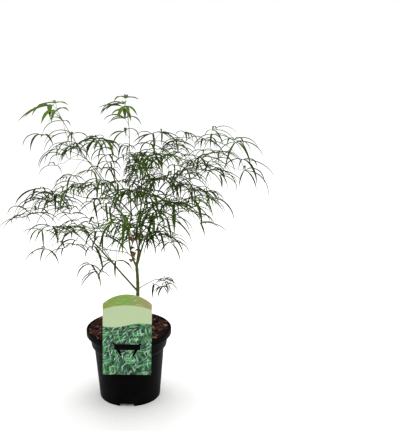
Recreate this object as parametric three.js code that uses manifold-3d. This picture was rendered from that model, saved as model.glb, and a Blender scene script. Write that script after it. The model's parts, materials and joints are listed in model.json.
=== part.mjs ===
// A young thread-leaf Japanese maple in a black nursery pot, with a picture label hung on the pot's rim.
// Millimetres, +Z up. The origin is the middle of the pot's flat underside; the label faces -Y.
//
// Every limb, leaf stalk and leaf lobe follows one rule: it sets off along a compass heading (0 is +X,
// 90 is +Y) at some rise above the horizon, and both change evenly along its length. Tables say where
// the boughs and the masses' stems end. Foliage grows along those stems by a seeded rule, and each mass
// keeps to the space that is nearer to its own stem than to any other mass's stem.
import * as THREE from "three";
import { mergeVertices } from "three/addons/utils/BufferGeometryUtils.js";
import Module from "manifold-3d";

const wasm = await Module();
wasm.setup();

const CLEARANCE = 0.3; // gap that touching pieces keep
const UP = new THREE.Vector3(0, 0, 1);

const POT = {
  height: 161,
  wall: 1.8,
  rimRadius: 95,
  rimBand: 12, // height of the thick band round the rim
  rimThickness: 3.5,
  rimRound: 1, // how much its corners are taken off
  draft: 0.6, // how far the lowest walls lean, so that the pot leaves its mould
  collarRadius: 88.8, // outside the collar, just under the band
  shoulder: { radius: 84, z: 124 },
  body: { topRadius: 78, topZ: 117, footRadius: 68 },
  footRing: 4.5, // width of the ring that the pot stands on
  channel: { inner: 46, height: 6 }, // raised drainage channel round the flat middle of the floor
  notches: { count: 3, width: 32, height: 5.8, firstAngle: -97 },
  drains: { count: 6, radius: 5, ring: 54.5, sides: 8, firstAngle: -67 },
  sides: 32,
};

const SOIL = { middle: 151, middleRadius: 45, edge: 154 };

const LABEL = {
  width: 105,
  bottom: 90,
  shoulder: 255, // where the straight sides end and the arched top begins
  top: 277,
  thickness: 0.8,
  angle: -3, // round the pot, from the front
  lean: 1.5, // how far it hangs askew, in its own plane
  // The slot has some play above and below the rim band, and a spring tongue between two slits, whose
  // widths are given at their tops and feet.
  slot: { width: 56, play: 1, tongue: 32, slit: [7, 4], slant: 5, depth: 14, ear: 3 },
  inset: 3, // how far the card hangs inside the rim's outside
};

// The trunk rises from the soil to the fork where three stems part.
const TRUNK = {
  foot: [13, 0],
  heading: 0,
  rise: [80.5, 94],
  length: 158,
  buried: 4, // the limb starts below the soil and is cut flat on it
  radius: [4.5, 3.3],
  flare: 2.8, // added to the radius at the foot, and gone by a share of the length
  flareShare: 0.14,
  steps: 10,
  sides: 9,
};

// Every bough leaves another limb at a share of that limb's length, sets off at some rise above the
// horizon and ends at a point. Its radius is the one at its foot.
const BOUGHS = {
  bough_low_left: { from: "trunk", at: 0.62, rise: 52, to: [-76, -8, 372], radius: 2.1 },
  bough_hanging: { from: "bough_low_left", at: 0.6, rise: 34, to: [-92, -36, 382], radius: 1 },
  bough_low_back: { from: "bough_low_left", at: 0.45, rise: 40, to: [-66, 40, 356], radius: 1 },
  bough_low_right: { from: "trunk", at: 0.65, rise: 38, to: [60, -4, 275], radius: 1 },
  stem_left: { from: "trunk", at: 0.965, rise: 66, to: [12, 0, 427], radius: 2.1 },
  stem_middle: { from: "trunk", at: 1, rise: 80, to: [30, 0, 426], radius: 2.4 },
  stem_right: { from: "trunk", at: 0.975, rise: 76, to: [57, -6, 413], radius: 2 },
  bough_inner_left: { from: "stem_left", at: 0.2, rise: 50, to: [-16, -28, 352], radius: 1 },
  bough_upper_left: { from: "stem_left", at: 1, rise: 46, to: [-40, 6, 489], radius: 1.6 },
  bough_left_front: { from: "bough_upper_left", at: 0.45, rise: 34, to: [-58, -34, 474], radius: 1 },
  bough_left_back: { from: "bough_upper_left", at: 0.8, rise: 44, to: [-66, 48, 520], radius: 1 },
  bough_leader: { from: "stem_left", at: 0.97, rise: 80, to: [8, 14, 488], radius: 1.5 },
  bough_top_left: { from: "bough_leader", at: 0.55, rise: 60, to: [-16, -10, 504], radius: 1 },
  bough_top_middle: { from: "stem_middle", at: 1, rise: 84, to: [44, -8, 494], radius: 1.6 },
  bough_top_right: { from: "bough_top_middle", at: 0.75, rise: 58, to: [80, 28, 530], radius: 1 },
  bough_right: { from: "stem_middle", at: 0.96, rise: 38, to: [95, -4, 470], radius: 1.6 },
  bough_right_front: { from: "bough_right", at: 0.5, rise: 26, to: [96, -46, 468], radius: 1 },
  bough_right_back: { from: "bough_right", at: 0.8, rise: 40, to: [120, 46, 504], radius: 1 },
  bough_right_low: { from: "stem_right", at: 1, rise: 40, to: [92, -2, 434], radius: 1.3 },
  bough_front: { from: "stem_right", at: 0.72, rise: 54, to: [58, -58, 438], radius: 1.1 },
  bough_front_left: { from: "stem_left", at: 0.7, rise: 48, to: [-26, -58, 440], radius: 1.1 },
  bough_back: { from: "stem_middle", at: 0.8, rise: 50, to: [34, 64, 456], radius: 1.1 },
  bough_back_left: { from: "stem_left", at: 0.62, rise: 46, to: [-28, 60, 436], radius: 1.1 },
  bough_back_right: { from: "stem_right", at: 0.8, rise: 46, to: [90, 56, 436], radius: 1.1 },
};
const BOUGH = { taper: 0.75, steps: 5, sides: 5 };

// Every mass has a stem that grows straight on from the bough of its name and bends over to end at a
// point. Twigs part from it in pairs; the lobe is the length of its leaves' longest lobes.
const MASSES = {
  foliage_low_left: { to: [-176, -10, 472], pairs: 6, lobe: 66 },
  foliage_hanging: { to: [-148, -50, 416], pairs: 3, lobe: 54 },
  foliage_low_back: { to: [-112, 70, 372], pairs: 3, lobe: 58 },
  foliage_low_right: { to: [72, -6, 274], pairs: 1, lobe: 34 },
  foliage_inner_left: { to: [-64, -48, 368], pairs: 4, lobe: 56 },
  foliage_upper_left: { to: [-139, 14, 652], pairs: 5, lobe: 68 },
  foliage_left_front: { to: [-112, -70, 496], pairs: 5, lobe: 60 },
  foliage_left_back: { to: [-124, 92, 548], pairs: 4, lobe: 62 },
  foliage_leader: { to: [14, 22, 646], pairs: 5, lobe: 68 },
  foliage_top_left: { to: [-48, -26, 588], pairs: 5, lobe: 60 },
  foliage_top_middle: { to: [64, -24, 596], pairs: 5, lobe: 60 },
  foliage_top_right: { to: [124, 56, 552], pairs: 3, lobe: 62 },
  foliage_right: { to: [228, -8, 572], pairs: 5, lobe: 70 },
  foliage_right_front: { to: [146, -86, 486], pairs: 3, lobe: 60 },
  foliage_right_back: { to: [176, 86, 532], pairs: 4, lobe: 64 },
  foliage_right_low: { to: [136, -2, 462], pairs: 3, lobe: 56 },
  foliage_front: { to: [80, -110, 454], pairs: 3, lobe: 58 },
  foliage_front_left: { to: [-50, -120, 478], pairs: 5, lobe: 60 },
  foliage_back: { to: [42, 132, 500], pairs: 5, lobe: 64 },
  foliage_back_left: { to: [-60, 118, 482], pairs: 4, lobe: 64 },
  foliage_back_right: { to: [130, 110, 474], pairs: 5, lobe: 62 },
};
const FIRST_SEED = 1; // of the first mass; each mass takes the next number

// A mass's twigs part from its stem in pairs, and each pair is a quarter turn on from the last.
const TWIG = {
  stemRadius: [0.9, 0.6],
  radius: [0.6, 0.5],
  length: 46,
  longest: 0.7, // share of the stem's length that a twig may have
  splay: 54, // angle from the stem
  sag: 30, // how far the twig's tip bends down
  first: 0.2, // where along the stem the first pair sits, and the last
  last: 0.9,
  sway: { roll: 25, splay: 10, length: 0.25 }, // how far chance may change a twig
};

// A leaf is a stalk that opens into a fan of narrow lobes.
const LEAF = {
  stalk: 20,
  stalkRadius: 0.55,
  stalkRise: { twig: 30, stem: 8, steepest: 48 }, // above the twig or stem that it grows from
  sunk: 1.2, // how deep the stalk's root is set
  spread: 62, // how far the two leaves at a stem's tip point apart from it
  sway: { heading: 12, tipHeading: 15, lobe: 0.15 }, // how far chance may change a leaf
  hub: { radius: 2.2, top: 0.7, bottom: 0.9, open: 28 }, // the spot where the lobes meet
  lobes: [-100, -50, 0, 50, 100], // headings of the lobes, from the leaf's own
  shares: [0.6, 0.88, 1, 0.88, 0.6], // their lengths
  width: 4.6, // of a lobe of the usual length, where it is widest
  usual: 60,
  widest: 0.4, // share of the lobe's length
  rise: [16, -74], // each lobe arches from the first to the second
  thickness: 0.9,
  cuts: [1, 0.8, 0.6], // a lobe that doesn't fit is tried at these shares of its length
  fewest: 3, // lobes that a leaf must keep
};

const COLOURS = {
  pot: 0x141414,
  soil: 0x3b2219,
  label: 0x7fae6a,
  trunk: 0x5d6b34,
  bough: 0x55692c,
  foliage: 0x3f6127,
};

// ---- Small helpers -------------------------------------------------------------------------------

const radians = THREE.MathUtils.degToRad;
const mix = THREE.MathUtils.lerp;

/** A number from 0 to 1 that depends only on a seed and a count, so that it is the same every time. */
function chance(seed, count) {
  const wave = Math.sin(seed * 127.1 + count * 311.7) * 43758.5453;
  return wave - Math.floor(wave);
}

/** A number from -1 to 1, as chance. */
function sway(seed, count) {
  return 2 * chance(seed, count) - 1;
}

/** The unit vector along a compass heading at a rise above the horizon, in degrees. */
function direction(heading, rise) {
  const [a, e] = [radians(heading), radians(rise)];
  return new THREE.Vector3(Math.cos(a) * Math.cos(e), Math.sin(a) * Math.cos(e), Math.sin(e));
}

/** The heading and rise of a vector, in degrees. */
function bearing(vector) {
  const level = Math.hypot(vector.x, vector.y);
  return {
    heading: THREE.MathUtils.radToDeg(Math.atan2(vector.y, vector.x)),
    rise: THREE.MathUtils.radToDeg(Math.atan2(vector.z, level)),
  };
}

/** Points along a limb that sets off from a point and changes its course evenly along its length. */
function arch({ from, heading, rise, length, steps, turn = 0 }) {
  const points = [from.clone()];
  for (let i = 0; i < steps; i++) {
    const share = (i + 0.5) / steps;
    const step = direction(heading + turn * share, mix(rise[0], rise[1], share));
    points.push(points[i].clone().addScaledVector(step, length / steps));
  }
  return points;
}

/** The course of a limb that sets off along a heading at some rise and bends evenly to end at a point. */
function courseTo(to, { from, heading, rise }) {
  const chord = new THREE.Vector3(...to).sub(from);
  const way = bearing(chord);
  const turn = 2 * (THREE.MathUtils.euclideanModulo(way.heading - heading + 180, 360) - 180);
  const halfBend = Math.max(chord.angleTo(direction(heading, rise)), 1e-3);
  const length = (chord.length() * halfBend) / Math.sin(halfBend);
  return { from, heading, turn, rise: [rise, 2 * way.rise - rise], length };
}

/** The point a share of the way along evenly spaced points, and the direction there. */
function along(points, share) {
  const last = points.length - 2;
  const place = Math.min(share * (last + 1), last + 1);
  const i = Math.min(Math.floor(place), last);
  const step = points[i + 1].clone().sub(points[i]);
  return { point: points[i].clone().addScaledVector(step, place - i), step: step.normalize() };
}

/** A geometry from corner points and triangles of their numbers. */
function geometryOf(corners, triangles) {
  return new THREE.BufferGeometry().setFromPoints(corners).setIndex(triangles.flat());
}

/** A closed geometry as a manifold-3d solid. */
function solidOf(geometry) {
  const bare = geometry.clone();
  bare.deleteAttribute("normal");
  bare.deleteAttribute("uv");
  const merged = mergeVertices(bare, 1e-4);
  return new wasm.Manifold(
    new wasm.Mesh({
      numProp: 3,
      vertProperties: merged.attributes.position.array,
      triVerts: new Uint32Array(merged.index.array),
    }),
  );
}

/** A manifold-3d solid as a geometry with flat faces. */
function geometryFrom(solid) {
  const { vertProperties, numProp, triVerts } = solid.getMesh();
  const corners = [];
  for (let i = 0; i < vertProperties.length; i += numProp) {
    corners.push(new THREE.Vector3(...vertProperties.subarray(i, i + 3)));
  }
  const geometry = geometryOf(corners, [[...triVerts]]).toNonIndexed();
  geometry.computeVertexNormals();
  return geometry;
}

/** The largest body of a solid, without loose scraps and sealed hollows. */
function mainBody(solid) {
  return solid.decompose().reduce((a, b) => (b.volume() > a.volume() ? b : a));
}

/** A named mesh in its own material. */
function piece(name, solid, color, roughness = 0.7) {
  const material = new THREE.MeshStandardMaterial({ color, roughness, metalness: 0 });
  const mesh = new THREE.Mesh(geometryFrom(solid), material);
  mesh.name = name;
  return mesh;
}

/** A closed tube round a row of points, whose radius is given by a function of the share along it. */
function tube(points, radiusAt, sides) {
  const corners = [];
  const triangles = [];
  const last = points.length - 1;
  let across = new THREE.Vector3(0.31, 0.95, 0.12);
  points.forEach((point, i) => {
    const ahead = points[Math.min(i + 1, last)].clone().sub(points[Math.max(i - 1, 0)]).normalize();
    across = across.clone().projectOnPlane(ahead).normalize();
    const spoke = across.clone().multiplyScalar(radiusAt(i / last));
    for (let k = 0; k < sides; k++) {
      corners.push(point.clone().add(spoke.clone().applyAxisAngle(ahead, (2 * Math.PI * k) / sides)));
    }
  });
  for (let i = 0; i < last; i++) {
    for (let k = 0; k < sides; k++) {
      const [a, b] = [i * sides + k, i * sides + ((k + 1) % sides)];
      triangles.push([a, b, b + sides], [a, b + sides, a + sides]);
    }
  }
  const end = last * sides;
  for (let k = 1; k < sides - 1; k++) triangles.push([0, k + 1, k], [end, end + k, end + k + 1]);
  return geometryOf(corners, triangles);
}

/** A solid turned about Z from an outline of [radius, z] points that starts and ends on the axis. */
function turned(outline, sides = POT.sides) {
  const profile = outline.map(([radius, z]) => new THREE.Vector2(radius, z));
  return solidOf(new THREE.LatheGeometry(profile, sides).rotateX(Math.PI / 2));
}

// ---- Pot, soil and label -------------------------------------------------------------------------

/** The pot's inner outline, from the rim down to the middle of its floor. */
function potInside() {
  const { wall, channel, shoulder, body, draft } = POT;
  return [
    [POT.rimRadius - POT.rimThickness, POT.height],
    [POT.collarRadius - wall, POT.height - POT.rimBand - wall],
    [shoulder.radius - wall, shoulder.z],
    [body.topRadius - wall, body.topZ],
    [body.footRadius - wall + draft, channel.height + wall],
    [channel.inner, channel.height + wall],
    [channel.inner - wall, wall],
    [0, wall],
  ];
}

/** Copies of a cutter that stands on +X, shared out evenly round the pot. */
function sharedOut(cutter, { count, firstAngle }) {
  const turnOf = (i) => radians(firstAngle + (360 * i) / count);
  return Array.from({ length: count }, (_, i) => solidOf(cutter.clone().rotateZ(turnOf(i))));
}

function potSolid() {
  const { rimRadius, height, rimBand, rimRound, collarRadius, shoulder, body } = POT;
  const { footRing, channel, draft, notches, drains } = POT;
  const ringInner = body.footRadius - footRing;
  const shell = turned([
    [0, 0],
    [channel.inner, 0],
    [channel.inner + draft, channel.height],
    [ringInner - draft, channel.height],
    [ringInner, 0],
    [body.footRadius, 0],
    [body.topRadius, body.topZ],
    [shoulder.radius, shoulder.z],
    [collarRadius, height - rimBand],
    [rimRadius - rimRound, height - rimBand],
    [rimRadius, height - rimBand + rimRound],
    [rimRadius, height - rimRound],
    [rimRadius - rimRound, height],
    ...potInside(),
  ]);
  const notch = new THREE.BoxGeometry(3 * footRing, notches.width, 2 * notches.height);
  notch.translate(body.footRadius, 0, 0);
  const drain = new THREE.CylinderGeometry(drains.radius, drains.radius, 4 * channel.height, drains.sides);
  drain.rotateX(Math.PI / 2).translate(drains.ring, 0, 0);
  const cuts = [...sharedOut(notch, notches), ...sharedOut(drain, drains)];
  return shell.subtract(wasm.Manifold.union(cuts));
}

function soilSolid() {
  const inside = potInside().map(([radius, z]) => [Math.max(radius - CLEARANCE, 0), z + CLEARANCE]);
  const [rim, collar] = inside;
  const share = (SOIL.edge - collar[1]) / (rim[1] - collar[1]);
  const edgeRadius = mix(collar[0], rim[0], share);
  const top = [
    [edgeRadius, SOIL.edge],
    [SOIL.middleRadius, SOIL.middle],
    [0, SOIL.middle],
  ];
  return turned([...inside.slice(1).reverse(), ...top]);
}

/** The slot in the label that the pot's rim band pokes through, with a spring tongue under it. */
function labelSlot() {
  const { width, play, tongue, slit, slant, depth, ear } = LABEL.slot;
  const low = POT.height - POT.rimBand - play;
  const high = POT.height + play;
  const right = [
    [tongue / 2, low],
    [tongue / 2 - slant, low - depth],
    [tongue / 2 - slant + slit[1], low - depth],
    [tongue / 2 + slit[0], low],
    [width / 2, low],
    [width / 2 + ear, high + ear],
    [width / 2 - ear, high],
  ];
  const left = right.map(([x, z]) => [-x, z]).reverse();
  return new THREE.Path([...right, ...left].map(([x, z]) => new THREE.Vector2(x, z)));
}

function labelSolid() {
  const half = LABEL.width / 2;
  const rise = LABEL.top - LABEL.shoulder;
  const sweep = (half * half + rise * rise) / (2 * rise);
  const start = Math.asin(half / sweep);
  const card = new THREE.Shape();
  card.moveTo(-half, LABEL.bottom);
  card.lineTo(half, LABEL.bottom);
  card.lineTo(half, LABEL.shoulder);
  card.absarc(0, LABEL.top - sweep, sweep, Math.PI / 2 - start, Math.PI / 2 + start, false);
  card.closePath();
  card.holes.push(labelSlot());
  const options = { depth: LABEL.thickness, bevelEnabled: false, curveSegments: 12 };
  const sheet = new THREE.ExtrudeGeometry(card, options);
  const hang = POT.height - POT.rimBand / 2;
  sheet.rotateX(Math.PI / 2).translate(0, LABEL.inset - POT.rimRadius, -hang);
  sheet.rotateY(radians(LABEL.lean)).translate(0, 0, hang).rotateZ(radians(LABEL.angle));
  return solidOf(sheet);
}

// ---- Trunk and boughs ----------------------------------------------------------------------------

/** A limb: the points it follows, its radii, and how it is made solid, grown by a margin if need be. */
function limb({ radius, flare = 0, flareShare = 1, sides, ...course }) {
  const points = arch(course);
  const radiusAt = (share) => {
    const foot = Math.max(0, 1 - share / flareShare);
    return mix(radius[0], radius[1], share) + flare * foot * foot;
  };
  const solid = (margin = 0) => {
    const ends = points.map((point) => point.clone());
    ends[0].addScaledVector(along(points, 0).step, -margin);
    ends.at(-1).addScaledVector(along(points, 1).step, margin);
    return solidOf(tube(ends, (share) => radiusAt(share) + margin, sides));
  };
  return { points, radiusAt, solid };
}

function trunkLimb() {
  const { foot, heading, rise, buried, length } = TRUNK;
  const from = new THREE.Vector3(...foot, SOIL.middle).addScaledVector(direction(heading, rise[0]), -buried);
  return limb({ ...TRUNK, from, length: length + buried });
}

/** All limbs by name. Each bough starts on the axis of the limb that bears it. */
function limbs() {
  const made = { trunk: trunkLimb() };
  for (const [name, bough] of Object.entries(BOUGHS)) {
    const from = along(made[bough.from].points, bough.at).point;
    const { heading } = bearing(new THREE.Vector3(...bough.to).sub(from));
    const course = courseTo(bough.to, { from, heading, rise: bough.rise });
    const radius = [bough.radius, bough.radius * BOUGH.taper];
    made[name] = limb({ ...BOUGH, ...course, radius });
  }
  return made;
}

/** A limb's solid, cut clear of the limbs that were there before it. */
function clearedLimb(limb, earlier) {
  const close = earlier.filter((other) => gap(limb.points, other) < limb.radiusAt(0) + CLEARANCE);
  const cuts = close.map((other) => other.solid(CLEARANCE));
  return cuts.length ? mainBody(limb.solid().subtract(wasm.Manifold.union(cuts))) : limb.solid();
}

function cutAtSoil(trunk) {
  return trunk.trimByPlane(UP.toArray(), SOIL.middle + CLEARANCE);
}

/** The least distance from a row of points to a limb's bark, below nothing where they cross. */
function gap(points, other) {
  let least = Infinity;
  const [a, b] = [new THREE.Line3(), new THREE.Line3()];
  const last = other.points.length - 1;
  for (let i = 0; i < points.length - 1; i++) {
    a.set(points[i], points[i + 1]);
    for (let k = 0; k < last; k++) {
      b.set(other.points[k], other.points[k + 1]);
      least = Math.min(least, Math.sqrt(a.distanceSqToLine3(b)) - other.radiusAt(k / last));
    }
  }
  return least;
}

// ---- Foliage -------------------------------------------------------------------------------------

/** The corners of a lobe: its right edge, left edge and keel where it is widest, and its tip. */
function lobeCorners(path, length) {
  const width = LEAF.width * Math.sqrt(length / LEAF.usual);
  const { point, step } = along(path, LEAF.widest);
  const side = new THREE.Vector3().crossVectors(step, UP).normalize();
  const under = new THREE.Vector3().crossVectors(step, side).normalize();
  return [
    point.clone().addScaledVector(side, width / 2),
    point.clone().addScaledVector(side, -width / 2),
    point.clone().addScaledVector(under, LEAF.thickness),
    path.at(-1),
  ];
}

/**
 * One leaf: a stalk that opens into a fan of narrow lobes, each arching over to hang by its tip. Lobes
 * that don't fit are shortened or left out.
 */
function leaf({ from, heading, rise, lobe, fits }) {
  const stalk = direction(heading, rise);
  const root = from.clone().addScaledVector(stalk, -LEAF.sunk);
  const hub = from.clone().addScaledVector(stalk, LEAF.stalk);
  if (!fits([from, hub], LEAF.stalkRadius)) return null;
  const blades = [];
  LEAF.lobes.forEach((turn, i) => {
    for (const share of LEAF.cuts) {
      const length = lobe * LEAF.shares[i] * share;
      const path = arch({ from: hub, heading: heading + turn, rise: LEAF.rise, length, steps: 6 });
      if (fits(path, LEAF.width / 2)) {
        blades.push({ turn, corners: lobeCorners(path, length) });
        return;
      }
    }
  });
  if (blades.length < LEAF.fewest) return null;
  // The corners are the hub's top and bottom, then for each lobe the notch before it and its own four,
  // then the notch after the last one and the stalk's three at its root.
  const corners = [LEAF.hub.top, -LEAF.hub.bottom].map((height) => hub.clone().addScaledVector(UP, height));
  const turns = blades.map(({ turn }) => turn);
  const between = turns.slice(1).map((turn, i) => (turn + turns[i]) / 2);
  const notches = [turns[0] - LEAF.hub.open, ...between, turns.at(-1) + LEAF.hub.open];
  const notch = (turn) => hub.clone().addScaledVector(direction(heading + turn, 0), LEAF.hub.radius);
  blades.forEach((blade, i) => corners.push(notch(notches[i]), ...blade.corners));
  corners.push(notch(notches.at(-1)));
  const [top, bottom, first, last] = [0, 1, 2, corners.length - 1];
  const triangles = [];
  for (let before = first; before < last; before += 5) {
    const [right, left, keel, tip, after] = [1, 2, 3, 4, 5].map((k) => before + k);
    triangles.push([top, before, right], [top, right, left], [top, left, after], [right, tip, left]);
    triangles.push([bottom, right, before], [bottom, keel, right], [bottom, left, keel]);
    triangles.push([bottom, after, left], [keel, tip, right], [keel, left, tip]);
  }
  const side = new THREE.Vector3().crossVectors(stalk, UP).normalize().multiplyScalar(LEAF.stalkRadius);
  const under = new THREE.Vector3().crossVectors(stalk, side).normalize().multiplyScalar(LEAF.stalkRadius);
  const low = root.clone().addScaledVector(under, Math.sqrt(3));
  corners.push(root.clone().add(side), root.clone().sub(side), low);
  const [right, left, keel] = [last + 1, last + 2, last + 3];
  triangles.push([top, last, first], [right, left, keel], [right, first, left], [left, first, last]);
  triangles.push([left, last, keel], [keel, last, bottom], [keel, bottom, right], [right, bottom, first]);
  return solidOf(geometryOf(corners, triangles));
}

/** The stem of a mass, from a gap beyond its bough's tip. */
function stemOf(mass, bough) {
  const { point, step } = along(bough.points, 1);
  const { heading, rise } = bearing(step);
  const from = point.addScaledVector(step, CLEARANCE);
  return arch({ ...courseTo(mass.to, { from, heading, rise }), steps: BOUGH.steps });
}

/** The twigs of a mass, in pairs along its stem. */
function twigsOf({ seed, pairs }, stem) {
  const twigs = [];
  const usual = Math.min(TWIG.length, TWIG.longest * BOUGH.steps * stem[0].distanceTo(stem[1]));
  for (let i = 0; i < 2 * pairs; i++) {
    const pair = Math.floor(i / 2);
    const { point, step } = along(stem, mix(TWIG.first, TWIG.last, pairs > 1 ? pair / (pairs - 1) : 0.5));
    const roll = radians(90 * pair + 180 * (i % 2) + TWIG.sway.roll * sway(seed, 10 * i + 1));
    const splay = radians(TWIG.splay + TWIG.sway.splay * sway(seed, 10 * i + 2));
    const spoke = new THREE.Vector3().crossVectors(step, UP).normalize().applyAxisAngle(step, roll);
    const away = step.clone().multiplyScalar(Math.cos(splay)).addScaledVector(spoke, Math.sin(splay));
    const { heading, rise } = bearing(away);
    const reach = usual * (1 + TWIG.sway.length * sway(seed, 10 * i + 3));
    const tipRise = rise - TWIG.sag;
    const points = arch({ from: point, heading, rise: [rise, tipRise], length: reach, steps: 2 });
    twigs.push({ points, heading, tipRise });
  }
  return twigs;
}

/** A mass as one solid: its stem and twigs with a leaf at each tip. What doesn't fit is left out. */
function massSolid(mass, stem, fits) {
  const { seed } = mass;
  const thick = (radii) => (share) => mix(radii[0], radii[1], share);
  const leafAt = (from, heading, rise, count) => {
    return leaf({ from, heading, rise, lobe: mass.lobe * (1 + LEAF.sway.lobe * sway(seed, count)), fits });
  };
  const solids = [solidOf(tube(stem, thick(TWIG.stemRadius), 4))];
  twigsOf(mass, stem).forEach(({ points, heading, tipRise }, i) => {
    const turn = LEAF.sway.heading * sway(seed, 10 * i + 4);
    const leafRise = tipRise + LEAF.stalkRise.twig;
    const made = fits(points, TWIG.radius[0]) && leafAt(points.at(-1), heading + turn, leafRise, 10 * i + 5);
    if (made) solids.push(solidOf(tube(points, thick(TWIG.radius), 3)), made);
  });
  const { point, step } = along(stem, 1);
  const { heading, rise } = bearing(step);
  const leafRise = Math.min(rise + LEAF.stalkRise.stem, LEAF.stalkRise.steepest);
  for (const half of [-1, 1]) {
    const turn = half * (LEAF.spread + LEAF.sway.tipHeading * sway(seed, 200 + half));
    const made = leafAt(point, heading + turn, leafRise, 210 + half);
    if (made) solids.push(made);
  }
  return mainBody(wasm.Manifold.union(solids));
}

/**
 * A test of whether a row of points with some room round it keeps clear of all limbs and stays in a
 * mass's space, which is all that is nearer to the mass's own stem than to any other mass's.
 */
function spaceTest(stem, stems, wood) {
  const rivals = stems.filter((other) => other !== stem);
  return (points, room) => {
    const halfway = points.slice(1).map((point, i) => point.clone().lerp(points[i], 0.5));
    const fine = [...points, ...halfway];
    const inside = fine.every((point) => {
      const own = distance(point, stem);
      return rivals.every((rival) => distance(point, rival) - own > 2 * room + CLEARANCE);
    });
    return inside && wood.every((limb) => gap(points, limb) > room + CLEARANCE);
  };
}

/** The distance from a point to the nearest place on a row of points. */
function distance(point, row) {
  const [line, nearest] = [new THREE.Line3(), new THREE.Vector3()];
  const gaps = row.slice(1).map((end, i) => {
    return line.set(row[i], end).closestPointToPoint(point, true, nearest).distanceTo(point);
  });
  return Math.min(...gaps);
}

// ---- The whole plant -----------------------------------------------------------------------------

const plant = new THREE.Group();
plant.add(piece("pot", potSolid(), COLOURS.pot, 0.45));
plant.add(piece("soil", soilSolid(), COLOURS.soil, 1));
plant.add(piece("label", labelSolid(), COLOURS.label, 0.4));

const wood = limbs();
Object.entries(wood).forEach(([name, limb], i) => {
  const solid = clearedLimb(limb, Object.values(wood).slice(0, i));
  plant.add(piece(name, name === "trunk" ? cutAtSoil(solid) : solid, COLOURS[name] ?? COLOURS.bough));
});

const boughOf = (name) => wood[name.replace("foliage", "bough")];
const stems = Object.entries(MASSES).map(([name, mass]) => stemOf(mass, boughOf(name)));
Object.entries(MASSES).forEach(([name, mass], i) => {
  const fits = spaceTest(stems[i], stems, Object.values(wood));
  const solid = massSolid({ ...mass, seed: FIRST_SEED + i }, stems[i], fits);
  plant.add(piece(name, solid, COLOURS.foliage, 0.6));
});

export default plant;
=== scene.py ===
"""The looks of a young thread-leaf Japanese maple in a black nursery pot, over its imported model.

The plant is grown here again by the rule that its solids follow, and carried on to finer twigs and
leaves. Sizes and places are in millimetres wherever nothing else is said. Meshes are in metres, in
the model's own frame: Z is up, the origin is the middle of the pot's flat underside, and the picture
label faces -Y.
"""

import json
import logging
import math
from collections.abc import Callable, Sequence
from dataclasses import dataclass, field
from enum import Enum, IntEnum
from functools import lru_cache

import bpy
import numpy as np
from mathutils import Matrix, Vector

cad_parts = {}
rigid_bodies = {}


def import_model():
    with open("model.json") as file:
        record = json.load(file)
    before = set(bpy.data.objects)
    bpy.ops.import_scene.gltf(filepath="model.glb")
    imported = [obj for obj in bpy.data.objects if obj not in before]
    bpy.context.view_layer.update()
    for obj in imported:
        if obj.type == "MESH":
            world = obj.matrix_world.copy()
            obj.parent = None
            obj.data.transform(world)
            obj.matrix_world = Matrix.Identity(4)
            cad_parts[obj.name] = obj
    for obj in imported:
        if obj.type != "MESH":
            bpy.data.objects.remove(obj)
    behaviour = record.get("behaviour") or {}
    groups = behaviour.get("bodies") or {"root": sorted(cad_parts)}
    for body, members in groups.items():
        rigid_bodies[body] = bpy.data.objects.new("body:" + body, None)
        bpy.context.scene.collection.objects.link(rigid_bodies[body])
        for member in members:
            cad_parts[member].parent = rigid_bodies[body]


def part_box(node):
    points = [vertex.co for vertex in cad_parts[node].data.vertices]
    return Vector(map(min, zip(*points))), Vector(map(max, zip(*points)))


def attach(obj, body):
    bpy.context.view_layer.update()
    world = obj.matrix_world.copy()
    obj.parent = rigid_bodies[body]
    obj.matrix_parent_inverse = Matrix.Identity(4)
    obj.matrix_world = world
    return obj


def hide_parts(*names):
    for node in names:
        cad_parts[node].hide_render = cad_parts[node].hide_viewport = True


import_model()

log = logging.getLogger("maple")

MM = 0.001
CLEARANCE = 0.3  # gap that touching solids keep
UP = np.array([0.0, 0.0, 1.0])
BODY = "root"

Point = np.ndarray  # X, Y and Z
Points = np.ndarray  # a row of such points
Piece = bpy.types.Object
Socket = bpy.types.NodeSocket


# ---- Small helpers ----


def chance(seed: int, count: float) -> float:
    """A number from 0 to 1 that depends only on a seed and a count.

    Args:
        seed: The mass's or piece's own number.
        count: Which of its numbers is wanted.

    Returns:
        The same number each time.
    """
    wave = math.sin(seed * 127.1 + count * 311.7) * 43758.5453
    return wave - math.floor(wave)


def sway(seed: int, count: float) -> float:
    """A number from -1 to 1, as chance."""
    return 2 * chance(seed, count) - 1


def mix(first: float, second: float, share: float) -> float:
    """The value a share of the way from the first to the second."""
    return first + (second - first) * share


def unit(vector: Point) -> Point:
    """The vector at a length of one."""
    return vector / (np.linalg.norm(vector) or 1.0)


def direction(heading: float, rise: float) -> Point:
    """The unit vector along a compass heading at a rise above the horizon, in degrees."""
    turn, lift = math.radians(heading), math.radians(rise)
    return np.array([math.cos(turn) * math.cos(lift), math.sin(turn) * math.cos(lift), math.sin(lift)])


def bearing(vector: Point) -> tuple[float, float]:
    """The heading and rise of a vector, in degrees."""
    level = math.hypot(vector[0], vector[1])
    return math.degrees(math.atan2(vector[1], vector[0])), math.degrees(math.atan2(vector[2], level))


def turned_about(vector: Point, axis: Point, degrees: float) -> Point:
    """The vector turned about a unit axis.

    Args:
        vector: What is turned.
        axis: The axis, one long.
        degrees: How far.

    Returns:
        The turned vector.
    """
    turn = math.radians(degrees)
    flat = vector * math.cos(turn) + np.cross(axis, vector) * math.sin(turn)
    return flat + axis * np.dot(axis, vector) * (1 - math.cos(turn))


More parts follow.
